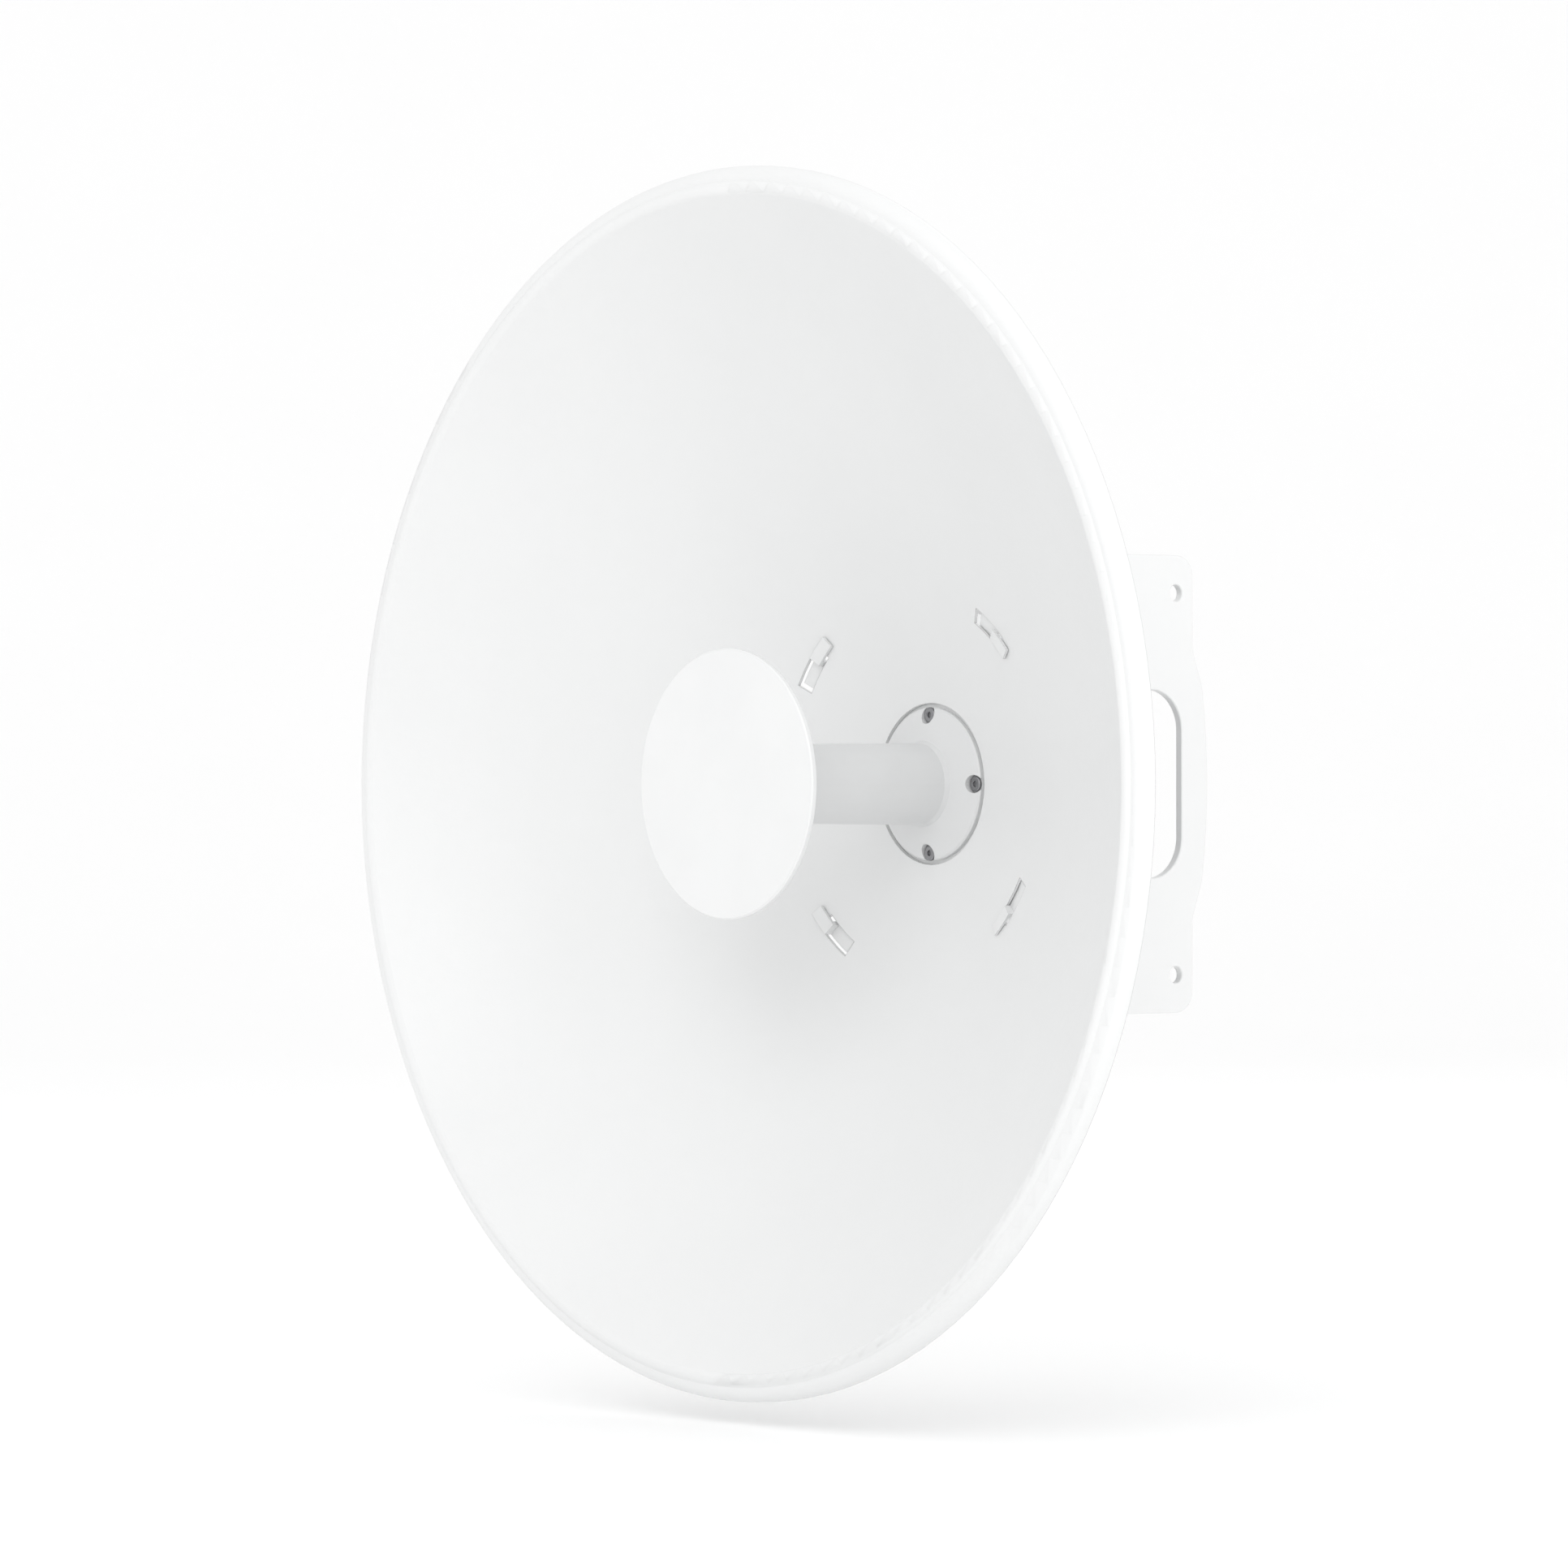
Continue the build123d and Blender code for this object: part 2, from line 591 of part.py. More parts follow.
with BuildPart() as upper_nuts:
    for x in (-clamp_bolt_x, clamp_bolt_x):
        hex_nut(facing(x, saddle_nut_y + washer_t, saddle_z, (0, 1, 0)), m8_r + fit_gap,
                m8_flats, m8_nut)
upper_nuts.part.label = "upper_nuts"
export_step(upper_nuts.part, "parts/upper_nuts.step")

with BuildPart() as lower_saddle:
    saddle(-saddle_z, saddle_split, saddle_nut_y)
lower_saddle.part.label = "lower_saddle"
export_step(lower_saddle.part, "parts/lower_saddle.step")

with BuildPart() as lower_washers:
    for x in (-clamp_bolt_x, clamp_bolt_x):
        washer(facing(x, saddle_nut_y, -saddle_z, (0, 1, 0)), m8_r + slide_gap, 8.5, washer_t)
lower_washers.part.label = "lower_washers"
export_step(lower_washers.part, "parts/lower_washers.step")

with BuildPart() as lower_nuts:
    for x in (-clamp_bolt_x, clamp_bolt_x):
        hex_nut(facing(x, saddle_nut_y + washer_t, -saddle_z, (0, 1, 0)), m8_r + fit_gap,
                m8_flats, m8_nut)
lower_nuts.part.label = "lower_nuts"
export_step(lower_nuts.part, "parts/lower_nuts.step")

# ---------------------------------------------------------------- radio
corner = 8.0
post_x = radio_x - 6.5
post_z = radio_z - 6.5
board_fix_x = radio_x - 12.0
board_fix_z = 22.0
jack_y = board_y + 1.6 + 6.6
key_x = 24.0
key_y = board_y + 5.0
key_r = 2.0
light_xs = (-20.0, -25.0, -30.0)
light_r = 1.4
pin_r = 1.2
notch_half = 9.0
lug_w = 4.0
can_z = 12.0              # middle of the shielded radio circuits
vent_x = 26.0
vent_z = -36.0
ground_x = -26.0
chip_places = ((-8, can_z), (9, can_z + 5), (9, can_z - 7))
led_z = -radio_z + 15.0

with BuildPart() as radio_shell:
    with BuildSketch(Plane.XZ.offset(-shell_back_y)):
        RectangleRounded(2 * radio_x, 2 * radio_z, corner)
    extrude(amount=shell_back_y - seat_back_y)
    with BuildSketch(Plane.XZ.offset(-shell_back_y)):
        RectangleRounded(2 * (radio_x - wall), 2 * (radio_z - wall), corner - wall)
    extrude(amount=shell_back_y - flange_y, mode=Mode.SUBTRACT)
    with BuildSketch(Plane.XZ.offset(-board_y)):
        with Locations(*[polar_xz(feed_screw_pcr, turn) for turn in quarter_turns]):
            Circle(feed_screw_r + 2.2)
        with GridLocations(2 * board_fix_x, 2 * board_fix_z, 2, 2):
            Circle(3.2)
    extrude(amount=board_y - flange_y)
    with BuildSketch(Plane.XZ.offset(-shell_back_y)):
        with GridLocations(2 * post_x, 2 * post_z, 2, 2):
            Circle(4.0)
    extrude(amount=shell_back_y - flange_y)
    disc(facing(0, seat_back_y - 1, 0, (0, 1, 0)), guide_r, 10, mode=Mode.SUBTRACT)
    for turn in quarter_turns:
        x, z = polar_xz(feed_screw_pcr, turn)
        disc(facing(x, seat_back_y - 1, z, (0, 1, 0)), feed_screw_r, 12, mode=Mode.SUBTRACT)
    for x in (-board_fix_x, board_fix_x):
        for z in (-board_fix_z, board_fix_z):
            disc(facing(x, board_y, z, (0, -1, 0)), 1.25, 7, mode=Mode.SUBTRACT)
    for x in (-post_x, post_x):
        for z in (-post_z, post_z):
            disc(facing(x, shell_back_y, z, (0, -1, 0)), 1.5, 12, mode=Mode.SUBTRACT)
    with BuildSketch(Plane.XZ.offset(-shell_back_y)):
        with Locations((0, -radio_z + wall / 2)):
            Rectangle(2 * notch_half, wall + 2)
    extrude(amount=shell_back_y - board_y + 0.4, mode=Mode.SUBTRACT)
    disc(facing(key_x, key_y, -radio_z - 1, (0, 0, 1)), key_r + fit_gap, 5, mode=Mode.SUBTRACT)
    for x in light_xs:
        disc(facing(x, key_y, -radio_z - 1, (0, 0, 1)), light_r, 5, mode=Mode.SUBTRACT)
radio_shell.part.label = "radio_shell"
export_step(radio_shell.part, "parts/radio_shell.step")

cover_inner_y = cover_back_y - 3.0
can_y = board_y + 1.6 + 4.0
pad_y = can_y + 1.0
with BuildPart() as radio_cover:
    with BuildSketch(Plane.XZ.offset(-cover_back_y)):
        RectangleRounded(2 * radio_x, 2 * radio_z, corner)
    extrude(amount=cover_back_y - shell_back_y)
    with BuildSketch(Plane.XZ.offset(-cover_inner_y)):
        RectangleRounded(2 * (radio_x - wall), 2 * (radio_z - wall), corner - wall)
    extrude(amount=cover_inner_y - shell_back_y, mode=Mode.SUBTRACT)
    with BuildSketch(Plane.XZ.offset(-cover_inner_y)):
        with GridLocations(2 * post_x, 2 * post_z, 2, 2):
            Circle(4.0)
    extrude(amount=cover_inner_y - shell_back_y)
    with BuildSketch(Plane.XZ.offset(-cover_inner_y)):
        with Locations((0, can_z)):
            RectangleRounded(36, 30, 3)
    extrude(amount=cover_inner_y - pad_y)
    with BuildSketch(Plane.XZ.offset(-cover_back_y - 2.0)):
        with Locations((0, 10)):
            with GridLocations(7.0, 1, 9, 1):
                SlotOverall(56, 2.4, rotation=90)
    extrude(amount=2.0)
    for x in (-post_x, post_x):
        for z in (-post_z, post_z):
            disc(facing(x, cover_back_y, z, (0, -1, 0)), 3.1, 2.2, mode=Mode.SUBTRACT)
            disc(facing(x, cover_back_y, z, (0, -1, 0)), 1.5, 14, mode=Mode.SUBTRACT)
    with BuildSketch(Plane.XZ.offset(-cover_inner_y)):
        with Locations((0, -radio_z + wall / 2)):
            Rectangle(2 * notch_half, wall + 2)
    extrude(amount=cover_inner_y - shell_back_y, mode=Mode.SUBTRACT)
    for x in (-port_door_half_x - 1.0 - lug_w, port_door_half_x + 1.0):
        with BuildSketch(Plane.YZ.offset(x)):
            with Locations((hinge_y, hinge_z)):
                Circle(3.0)
            with Locations((hinge_y, hinge_z / 2 - radio_z / 2 + 1.5)):
                Rectangle(6.0, abs(hinge_z + radio_z) + 3.0)
            with Locations((hinge_y, hinge_z)):
                Circle(pin_r + fit_gap, mode=Mode.SUBTRACT)
        extrude(amount=lug_w)
    disc(facing(vent_x, cover_back_y + 1, vent_z, (0, -1, 0)), 3.5, 6, mode=Mode.SUBTRACT)
    with BuildSketch(Plane.XZ.offset(-cover_back_y - 1.2)):
        with Locations((ground_x, vent_z)):
            Circle(6.0)
    extrude(amount=1.2)
    disc(facing(ground_x, cover_back_y + 2, vent_z, (0, -1, 0)), 2.5, 12, mode=Mode.SUBTRACT)
radio_cover.part.label = "radio_cover"
export_step(radio_cover.part, "parts/radio_cover.step")

with BuildPart() as cover_screws:
    for x in (-post_x, post_x):
        for z in (-post_z, post_z):
            disc(facing(x, cover_back_y - 2.2, z, (0, -1, 0)), 1.5, 18)
            disc(facing(x, cover_back_y - 2.2, z, (0, 1, 0)), 2.9, 1.8)
cover_screws.part.label = "cover_screws"
export_step(cover_screws.part, "parts/cover_screws.step")

with BuildPart() as vent_plug:
    disc(facing(vent_x, cover_inner_y, vent_z, (0, 1, 0)), 3.5, 3)
    disc(facing(vent_x, cover_back_y, vent_z, (0, 1, 0)), 5.5, 2)
    for turn in (0, 90):
        with BuildSketch(Plane.XZ.offset(-cover_back_y - 1.2)):
            with Locations((vent_x, vent_z)):
                SlotOverall(12, 1.0, rotation=turn)
        extrude(amount=0.6, mode=Mode.SUBTRACT)
vent_plug.part.label = "vent_plug"
export_step(vent_plug.part, "parts/vent_plug.step")

with BuildPart() as ground_screw:
    disc(facing(ground_x, cover_back_y + 1.2, vent_z, (0, -1, 0)), 2.5, 8)
    disc(facing(ground_x, cover_back_y + 1.2, vent_z, (0, 1, 0)), 4.6, 2.8)
    with BuildSketch(Plane.XZ.offset(-cover_back_y - 4.0)):
        with Locations((ground_x, vent_z)):
            Rectangle(7.0, 1.2)
            Rectangle(1.2, 7.0)
    extrude(amount=1.6, mode=Mode.SUBTRACT)
ground_screw.part.label = "ground_screw"
export_step(ground_screw.part, "parts/ground_screw.step")

with BuildPart() as main_board:
    with BuildSketch(Plane.XZ.offset(-board_y - 1.6)):
        Rectangle(2 * (radio_x - wall) - 3, 2 * (radio_z - wall) - 2)
        with GridLocations(2 * post_x, 2 * post_z, 2, 2):
            Rectangle(12, 14, mode=Mode.SUBTRACT)
        with GridLocations(2 * board_fix_x, 2 * board_fix_z, 2, 2):
            Circle(1.25, mode=Mode.SUBTRACT)
    extrude(amount=1.6)
main_board.part.label = "main_board"
export_step(main_board.part, "parts/main_board.step")

with BuildPart() as board_screws:
    for x in (-board_fix_x, board_fix_x):
        for z in (-board_fix_z, board_fix_z):
            disc(facing(x, board_y + 1.6, z, (0, -1, 0)), 1.25, 7)
            disc(facing(x, board_y + 1.6, z, (0, 1, 0)), 2.4, 1.5)
board_screws.part.label = "board_screws"
export_step(board_screws.part, "parts/board_screws.step")

with BuildPart() as shield_can:
    with BuildSketch(Plane.XZ.offset(-can_y)):
        with Locations((0, can_z)):
            RectangleRounded(40, 34, 1.5)
    extrude(amount=4.0)
    with BuildSketch(Plane.XZ.offset(-can_y + 0.4)):
        with Locations((0, can_z)):
            RectangleRounded(39.2, 33.2, 1.1)
    extrude(amount=3.6, mode=Mode.SUBTRACT)
shield_can.part.label = "shield_can"
export_step(shield_can.part, "parts/shield_can.step")

with BuildPart() as radio_chips:
    with BuildSketch(Plane.XZ.offset(-board_y - 3.0)):
        with Locations(*chip_places):
            Rectangle(11, 11)
    extrude(amount=1.4)
radio_chips.part.label = "radio_chips"
export_step(radio_chips.part, "parts/radio_chips.step")

with BuildPart() as thermal_pad:
    with BuildSketch(Plane.XZ.offset(-pad_y)):
        with Locations((0, can_z)):
            Rectangle(34, 28)
    extrude(amount=1.0)
thermal_pad.part.label = "thermal_pad"
export_step(thermal_pad.part, "parts/thermal_pad.step")

with BuildPart() as network_jack:
    with BuildSketch(Plane.XZ.offset(-board_y - 1.6 - 13.2)):
        with Locations((0, -radio_z + 13.0)):
            Rectangle(16, 18)
    extrude(amount=13.2)
    with BuildSketch(Plane.XY.offset(-radio_z + 4.0)):
        with Locations((0, jack_y)):
            Rectangle(12, 8)
        with Locations((0, jack_y + 4.6)):
            Rectangle(6, 2.2)
    extrude(amount=13, mode=Mode.SUBTRACT)
network_jack.part.label = "network_jack"
export_step(network_jack.part, "parts/network_jack.step")

with BuildPart() as line_transformer:
    with BuildSketch(Plane.XZ.offset(-board_y - 7.6)):
        with Locations((0, -radio_z + 30.5)):
            Rectangle(13, 12)
    extrude(amount=6)
line_transformer.part.label = "line_transformer"
export_step(line_transformer.part, "parts/line_transformer.step")

with BuildPart() as status_leds:
    with BuildSketch(Plane.XZ.offset(-key_y - 0.8)):
        with Locations(*[(x, led_z) for x in light_xs]):
            Rectangle(2.0, 1.6)
    extrude(amount=key_y + 0.8 - board_y - 1.6)
status_leds.part.label = "status_leds"
export_step(status_leds.part, "parts/status_leds.step")

with BuildPart() as light_pipes:
    for x in light_xs:
        disc(facing(x, key_y, -radio_z - 0.6, (0, 0, 1)), light_r, 13.4)
light_pipes.part.label = "light_pipes"
export_step(light_pipes.part, "parts/light_pipes.step")

with BuildPart() as reset_switch:
    with BuildSketch(Plane.XZ.offset(-board_y - 1.6 - 3.2)):
        with Locations((key_x, -radio_z + 9.9)):
            Rectangle(5, 4.4)
    extrude(amount=3.2)
reset_switch.part.label = "reset_switch"
export_step(reset_switch.part, "parts/reset_switch.step")

with BuildPart() as reset_button:
    disc(facing(key_x, key_y, -radio_z - 1.4, (0, 0, 1)), key_r, 8.4)
    disc(facing(key_x, key_y, -radio_z + wall + 0.3, (0, 0, 1)), 2.9, 1.0)
reset_button.part.label = "reset_button"
export_step(reset_button.part, "parts/reset_button.step")

with BuildPart() as launch_cup:
    turned([
        (guide_bore_r, flange_y + 2.5), (15, flange_y + 2.5), (15, board_y), (0, board_y),
        (0, board_y - 1.0), (guide_bore_r, board_y - 1.0)])
    for x, z in ((5, 0), (0, 5)):
        disc(facing(x, board_y + 1, z, (0, -1, 0)), 1.2, 4, mode=Mode.SUBTRACT)
launch_cup.part.label = "launch_cup"
export_step(launch_cup.part, "parts/launch_cup.step")

with BuildPart() as probe_pins:
    for x, z in ((5, 0), (0, 5)):
        disc(facing(x, board_y, z, (0, -1, 0)), 0.6, 6)
probe_pins.part.label = "probe_pins"
export_step(probe_pins.part, "parts/probe_pins.step")

# hinged door over the cable port
door_top_z = -radio_z - 0.5
door_t = 2.0
seal_r = 5.0
with BuildPart() as port_door:
    with BuildSketch(Plane.XY.offset(door_top_z - door_t)):
        with Locations((0, (door_front_y + hinge_y - 1.5) / 2)):
            RectangleRounded(2 * port_door_half_x, hinge_y - 1.5 - door_front_y, 1.4)
    extrude(amount=door_t)
    with BuildSketch(Plane.YZ.offset(-port_door_half_x)):
        with Locations((hinge_y, hinge_z)):
            Circle(2.0)
        with Locations((hinge_y - 1.5, door_top_z - door_t / 2)):
            Rectangle(3.0, door_t)
    extrude(amount=2 * port_door_half_x)
    disc(facing(-port_door_half_x, hinge_y, hinge_z, (1, 0, 0)), pin_r, 2 * port_door_half_x,
         mode=Mode.SUBTRACT)
    disc(facing(0, jack_y, door_top_z + 1, (0, 0, -1)), seal_r, 5, mode=Mode.SUBTRACT)
port_door.part.label = "port_door"
export_step(port_door.part, "parts/port_door.step")

with BuildPart() as door_pin:
    pin_half = port_door_half_x + 1.0 + lug_w + 0.3
    disc(facing(-pin_half, hinge_y, hinge_z, (1, 0, 0)), pin_r, 2 * pin_half)
door_pin.part.label = "door_pin"
export_step(door_pin.part, "parts/door_pin.step")

with BuildPart() as cable_seal:
    disc(facing(0, jack_y, door_top_z, (0, 0, -1)), seal_r, door_t)
    disc(facing(0, jack_y, door_top_z - door_t, (0, 0, -1)), seal_r + 0.8, 1.2)
    disc(facing(0, jack_y, door_top_z + 1, (0, 0, -1)), 2.7, 6, mode=Mode.SUBTRACT)
cable_seal.part.label = "cable_seal"
export_step(cable_seal.part, "parts/cable_seal.step")
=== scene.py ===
"""Looks of the dish antenna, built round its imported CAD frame. Metres."""

import json
import math

import bmesh
import bpy
from mathutils import Matrix, Vector


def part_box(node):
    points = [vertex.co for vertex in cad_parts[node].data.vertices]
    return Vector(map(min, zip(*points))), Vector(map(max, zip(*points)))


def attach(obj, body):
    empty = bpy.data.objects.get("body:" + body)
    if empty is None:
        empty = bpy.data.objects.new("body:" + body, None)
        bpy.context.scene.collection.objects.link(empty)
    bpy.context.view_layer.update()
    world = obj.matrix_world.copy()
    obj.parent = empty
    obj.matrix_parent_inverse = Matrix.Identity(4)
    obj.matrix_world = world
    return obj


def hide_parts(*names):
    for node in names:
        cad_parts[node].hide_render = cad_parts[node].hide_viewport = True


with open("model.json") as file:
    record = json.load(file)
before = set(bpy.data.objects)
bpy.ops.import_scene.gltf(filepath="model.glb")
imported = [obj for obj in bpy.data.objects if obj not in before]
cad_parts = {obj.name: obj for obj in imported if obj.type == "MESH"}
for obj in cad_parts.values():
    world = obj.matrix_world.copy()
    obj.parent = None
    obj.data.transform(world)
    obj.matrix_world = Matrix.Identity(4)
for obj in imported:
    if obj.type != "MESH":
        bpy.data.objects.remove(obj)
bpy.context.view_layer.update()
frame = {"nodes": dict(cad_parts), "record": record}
nodes = frame["nodes"]

# ---------------------------------------------------------------- places
REFLECTOR_LOW, REFLECTOR_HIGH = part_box("reflector")
DISH_R = REFLECTOR_HIGH[0]
RIM_FRONT_Y = REFLECTOR_LOW[1]
RIM_ROLL = 0.0016         # the rolled edge stands about this far in front of the aperture
APERTURE = Vector((0.0, RIM_FRONT_Y + RIM_ROLL, 0.0))

# the camera's turn from the dish axis, its distance, its shift to the side and its field
VIEW_AZIMUTH = math.radians(50.27)
VIEW_DISTANCE = 3.8336
VIEW_SIDE = 0.03167
FRAME_ANGLE = math.radians(12.2789336)


# ---------------------------------------------------------------- materials
def new_material(name):
    """New material with a plain Principled surface. Returns it, its node tree and its shader."""
    made = bpy.data.materials.new(name)
    made.use_nodes = True
    tree = made.node_tree
    tree.nodes.clear()
    out = tree.nodes.new("ShaderNodeOutputMaterial")
    shader = tree.nodes.new("ShaderNodeBsdfPrincipled")
    tree.links.new(shader.outputs["BSDF"], out.inputs["Surface"])
    return made, tree, shader


def noise(tree, scale, detail=3.0, rough=0.55, stretch=None):
    """Noise in object space, with features about 1/scale metres across."""
    place = tree.nodes.new("ShaderNodeTexCoord")
    turn = tree.nodes.new("ShaderNodeMapping")
    turn.inputs["Scale"].default_value = stretch or (1.0, 1.0, 1.0)
    made = tree.nodes.new("ShaderNodeTexNoise")
    made.inputs["Scale"].default_value = scale
    made.inputs["Detail"].default_value = detail
    made.inputs["Roughness"].default_value = rough
    tree.links.new(place.outputs["Object"], turn.inputs["Vector"])
    tree.links.new(turn.outputs["Vector"], made.inputs["Vector"])
    return made.outputs["Fac"]


def ramp(tree, value, low, high, colour_low, colour_high):
    """Colour that goes from one to the other while the value goes from low to high."""
    made = tree.nodes.new("ShaderNodeValToRGB")
    made.color_ramp.elements[0].position = low
    made.color_ramp.elements[1].position = high
    made.color_ramp.elements[0].color = (*colour_low, 1.0)
    made.color_ramp.elements[1].color = (*colour_high, 1.0)
    tree.links.new(value, made.inputs["Fac"])
    return made.outputs["Color"]


def spread(tree, value, low, high):
    """The value's middle range stretched between low and high."""
    made = tree.nodes.new("ShaderNodeMapRange")
    made.inputs["From Min"].default_value = 0.3
    made.inputs["From Max"].default_value = 0.7
    made.inputs["To Min"].default_value = low
    made.inputs["To Max"].default_value = high
    tree.links.new(value, made.inputs["Value"])
    return made.outputs["Result"]


def soft_edges(tree, radius):
    """Normals rounded over sharp edges by a radius, as a first normal for the bumps."""
    made = tree.nodes.new("ShaderNodeBevel")
    made.samples = 4
    made.inputs["Radius"].default_value = radius
    return made.outputs["Normal"]


def edge_mask(tree, radius, low, high):
    """1 along sharp edges and 0 elsewhere, broken up by noise."""
    true_normal = tree.nodes.new("ShaderNodeNewGeometry")
    across = tree.nodes.new("ShaderNodeVectorMath")
    across.operation = "DOT_PRODUCT"
    tree.links.new(soft_edges(tree, radius), across.inputs[0])
    tree.links.new(true_normal.outputs["Normal"], across.inputs[1])
    # this edge mask carries real wear, and on the dish and hooks painted shade along slits, window
    # walls and gaps
    wear_and_shade_edge = tree.nodes.new("ShaderNodeMath")
    wear_and_shade_edge.operation = "MULTIPLY_ADD"
    wear_and_shade_edge.inputs[1].default_value = 0.06
    tree.links.new(noise(tree, 500.0, 4.0, 0.7), wear_and_shade_edge.inputs[0])
    tree.links.new(across.outputs["Value"], wear_and_shade_edge.inputs[2])
    made = tree.nodes.new("ShaderNodeMapRange")
    made.inputs["From Min"].default_value = high
    made.inputs["From Max"].default_value = low
    tree.links.new(wear_and_shade_edge.outputs["Value"], made.inputs["Value"])
    return made.outputs["Result"]


def edge_wear_and_shade(tree, colour, mask, wear_and_shade_colour):
    """Colour that turns to the edge colour where the mask is 1: lighter rubbed zinc and thin paint as
    real wear, and a darker grey as painted shade on the dish and hooks.
    """
    made = tree.nodes.new("ShaderNodeMix")
    made.data_type = "RGBA"
    made.inputs[7].default_value = (*wear_and_shade_colour, 1.0)
    tree.links.new(mask, made.inputs["Factor"])
    tree.links.new(colour, made.inputs[6])
    return made.outputs[2]


def bumps(tree, shader, heights, edge=0.0003):
    """Chains bumps, each (height output, strength, depth in metres), over softened edges."""
    normal = soft_edges(tree, edge)
    for height, strength, depth in heights:
        made = tree.nodes.new("ShaderNodeBump")
        made.inputs["Strength"].default_value = strength
        made.inputs["Distance"].default_value = depth
        tree.links.new(height, made.inputs["Height"])
        tree.links.new(normal, made.inputs["Normal"])
        normal = made.outputs["Normal"]
    tree.links.new(normal, shader.inputs["Normal"])


def tint(colour, factor):
    """Colour scaled by a factor."""
    return tuple(min(1.0, part * factor) for part in colour)


def powder_coat(name, colour, peel=900.0, wear_and_shade_tone=0.93, edge_width=0.0005):
    """Baked paint: faint cloudiness, orange peel, satin gloss, and edges tinted by a tone: slightly
    darker where the paint is thin at the default tone, and painted shade where a low tone is given.
    """
    made, tree, shader = new_material(name)
    cloud = noise(tree, 9.0, 4.0)
    grain = noise(tree, peel, 2.0)
    speck = noise(tree, 260.0, 5.0, 0.7)
    coat = ramp(tree, cloud, 0.35, 0.65, tint(colour, 0.985), colour)
    # edge colour: thin paint at the default tone; a low tone paints shade into gaps, slits and window
    # walls
    tree.links.new(
        edge_wear_and_shade(tree, coat, edge_mask(tree, edge_width, 0.8, 0.97), tint(colour, wear_and_shade_tone)),
        shader.inputs["Base Color"])
    tree.links.new(spread(tree, speck, 0.34, 0.44), shader.inputs["Roughness"])
    bumps(tree, shader, [(grain, 0.12, 0.0002), (cloud, 0.05, 0.001)])
    return made


def moulded(name, colour, rough=0.42, grain_scale=1500.0):
    """Moulded plastic: fine spark-eroded grain and a little flow unevenness."""
    made, tree, shader = new_material(name)
    flow = noise(tree, 22.0, 3.0)
    grain = noise(tree, grain_scale, 2.0)
    tree.links.new(
        ramp(tree, flow, 0.35, 0.65, tint(colour, 0.98), colour), shader.inputs["Base Color"])
    tree.links.new(spread(tree, grain, rough - 0.05, rough + 0.06), shader.inputs["Roughness"])
    bumps(tree, shader, [(grain, 0.1, 0.00015)])
    return made


def zinc(name, colour, spangle=160.0):
    """Galvanised steel: crystal spangle in tone and gloss, with dull patches."""
    made, tree, shader = new_material(name)
    place = tree.nodes.new("ShaderNodeTexCoord")
    cells = tree.nodes.new("ShaderNodeTexVoronoi")
    cells.inputs["Scale"].default_value = spangle
    tree.links.new(place.outputs["Object"], cells.inputs["Vector"])
    patch = noise(tree, 35.0, 5.0, 0.65)
    shade = tree.nodes.new("ShaderNodeMix")
    shade.data_type = "RGBA"
    shade.blend_type = "MULTIPLY"
    shade.inputs["Factor"].default_value = 1.0
    tree.links.new(
        ramp(tree, patch, 0.3, 0.7, tint(colour, 0.8), colour), shade.inputs[6])
    tree.links.new(
        ramp(tree, cells.outputs["Color"], 0.1, 0.9, (0.84, 0.84, 0.84), (1.0, 1.0, 1.0)),
        shade.inputs[7])
    tree.links.new(
        edge_wear_and_shade(tree, shade.outputs[2], edge_mask(tree, 0.0006, 0.86, 0.99), tint(colour, 1.2)),
        shader.inputs["Base Color"])
    shader.inputs["Metallic"].default_value = 1.0
    tree.links.new(spread(tree, patch, 0.34, 0.55), shader.inputs["Roughness"])
    bumps(tree, shader, [(cells.outputs["Distance"], 0.05, 0.0002), (patch, 0.08, 0.0004)])
    return made


def bare_metal(name, colour, rough=0.3, scratch=(1.0, 14.0, 1.0)):
    """Machined or drawn metal with fine lines along its working direction."""
    made, tree, shader = new_material(name)
    lines = noise(tree, 420.0, 4.0, 0.6, scratch)
    tone = noise(tree, 30.0, 3.0)
    tree.links.new(
        ramp(tree, tone, 0.3, 0.7, tint(colour, 0.88), colour), shader.inputs["Base Color"])
    shader.inputs["Metallic"].default_value = 1.0
    tree.links.new(spread(tree, lines, rough - 0.07, rough + 0.12), shader.inputs["Roughness"])
    bumps(tree, shader, [(lines, 0.12, 0.0001)])
    return made


def cast_metal(name, colour):
    """Die-cast alloy: sandy skin with duller hollows."""
    made, tree, shader = new_material(name)
    skin = noise(tree, 700.0, 4.0, 0.6)
    tone = noise(tree, 45.0, 4.0)
    tree.links.new(
        ramp(tree, tone, 0.3, 0.7, tint(colour, 0.82), colour), shader.inputs["Base Color"])
    shader.inputs["Metallic"].default_value = 1.0
    tree.links.new(spread(tree, tone, 0.42, 0.6), shader.inputs["Roughness"])
    bumps(tree, shader, [(skin, 0.35, 0.0003), (tone, 0.1, 0.0006)])
    return made


def rubber(name, colour):
    """Moulded rubber with a dusty bloom."""
    made, tree, shader = new_material(name)
    bloom = noise(tree, 60.0, 5.0, 0.7)
    grain = noise(tree, 1200.0, 2.0)
    tree.links.new(
        ramp(tree, bloom, 0.35, 0.75, colour, tint(colour, 2.2)), shader.inputs["Base Color"])
    tree.links.new(spread(tree, bloom, 0.6, 0.8), shader.inputs["Roughness"])
    bumps(tree, shader, [(grain, 0.2, 0.0002)])
    return made


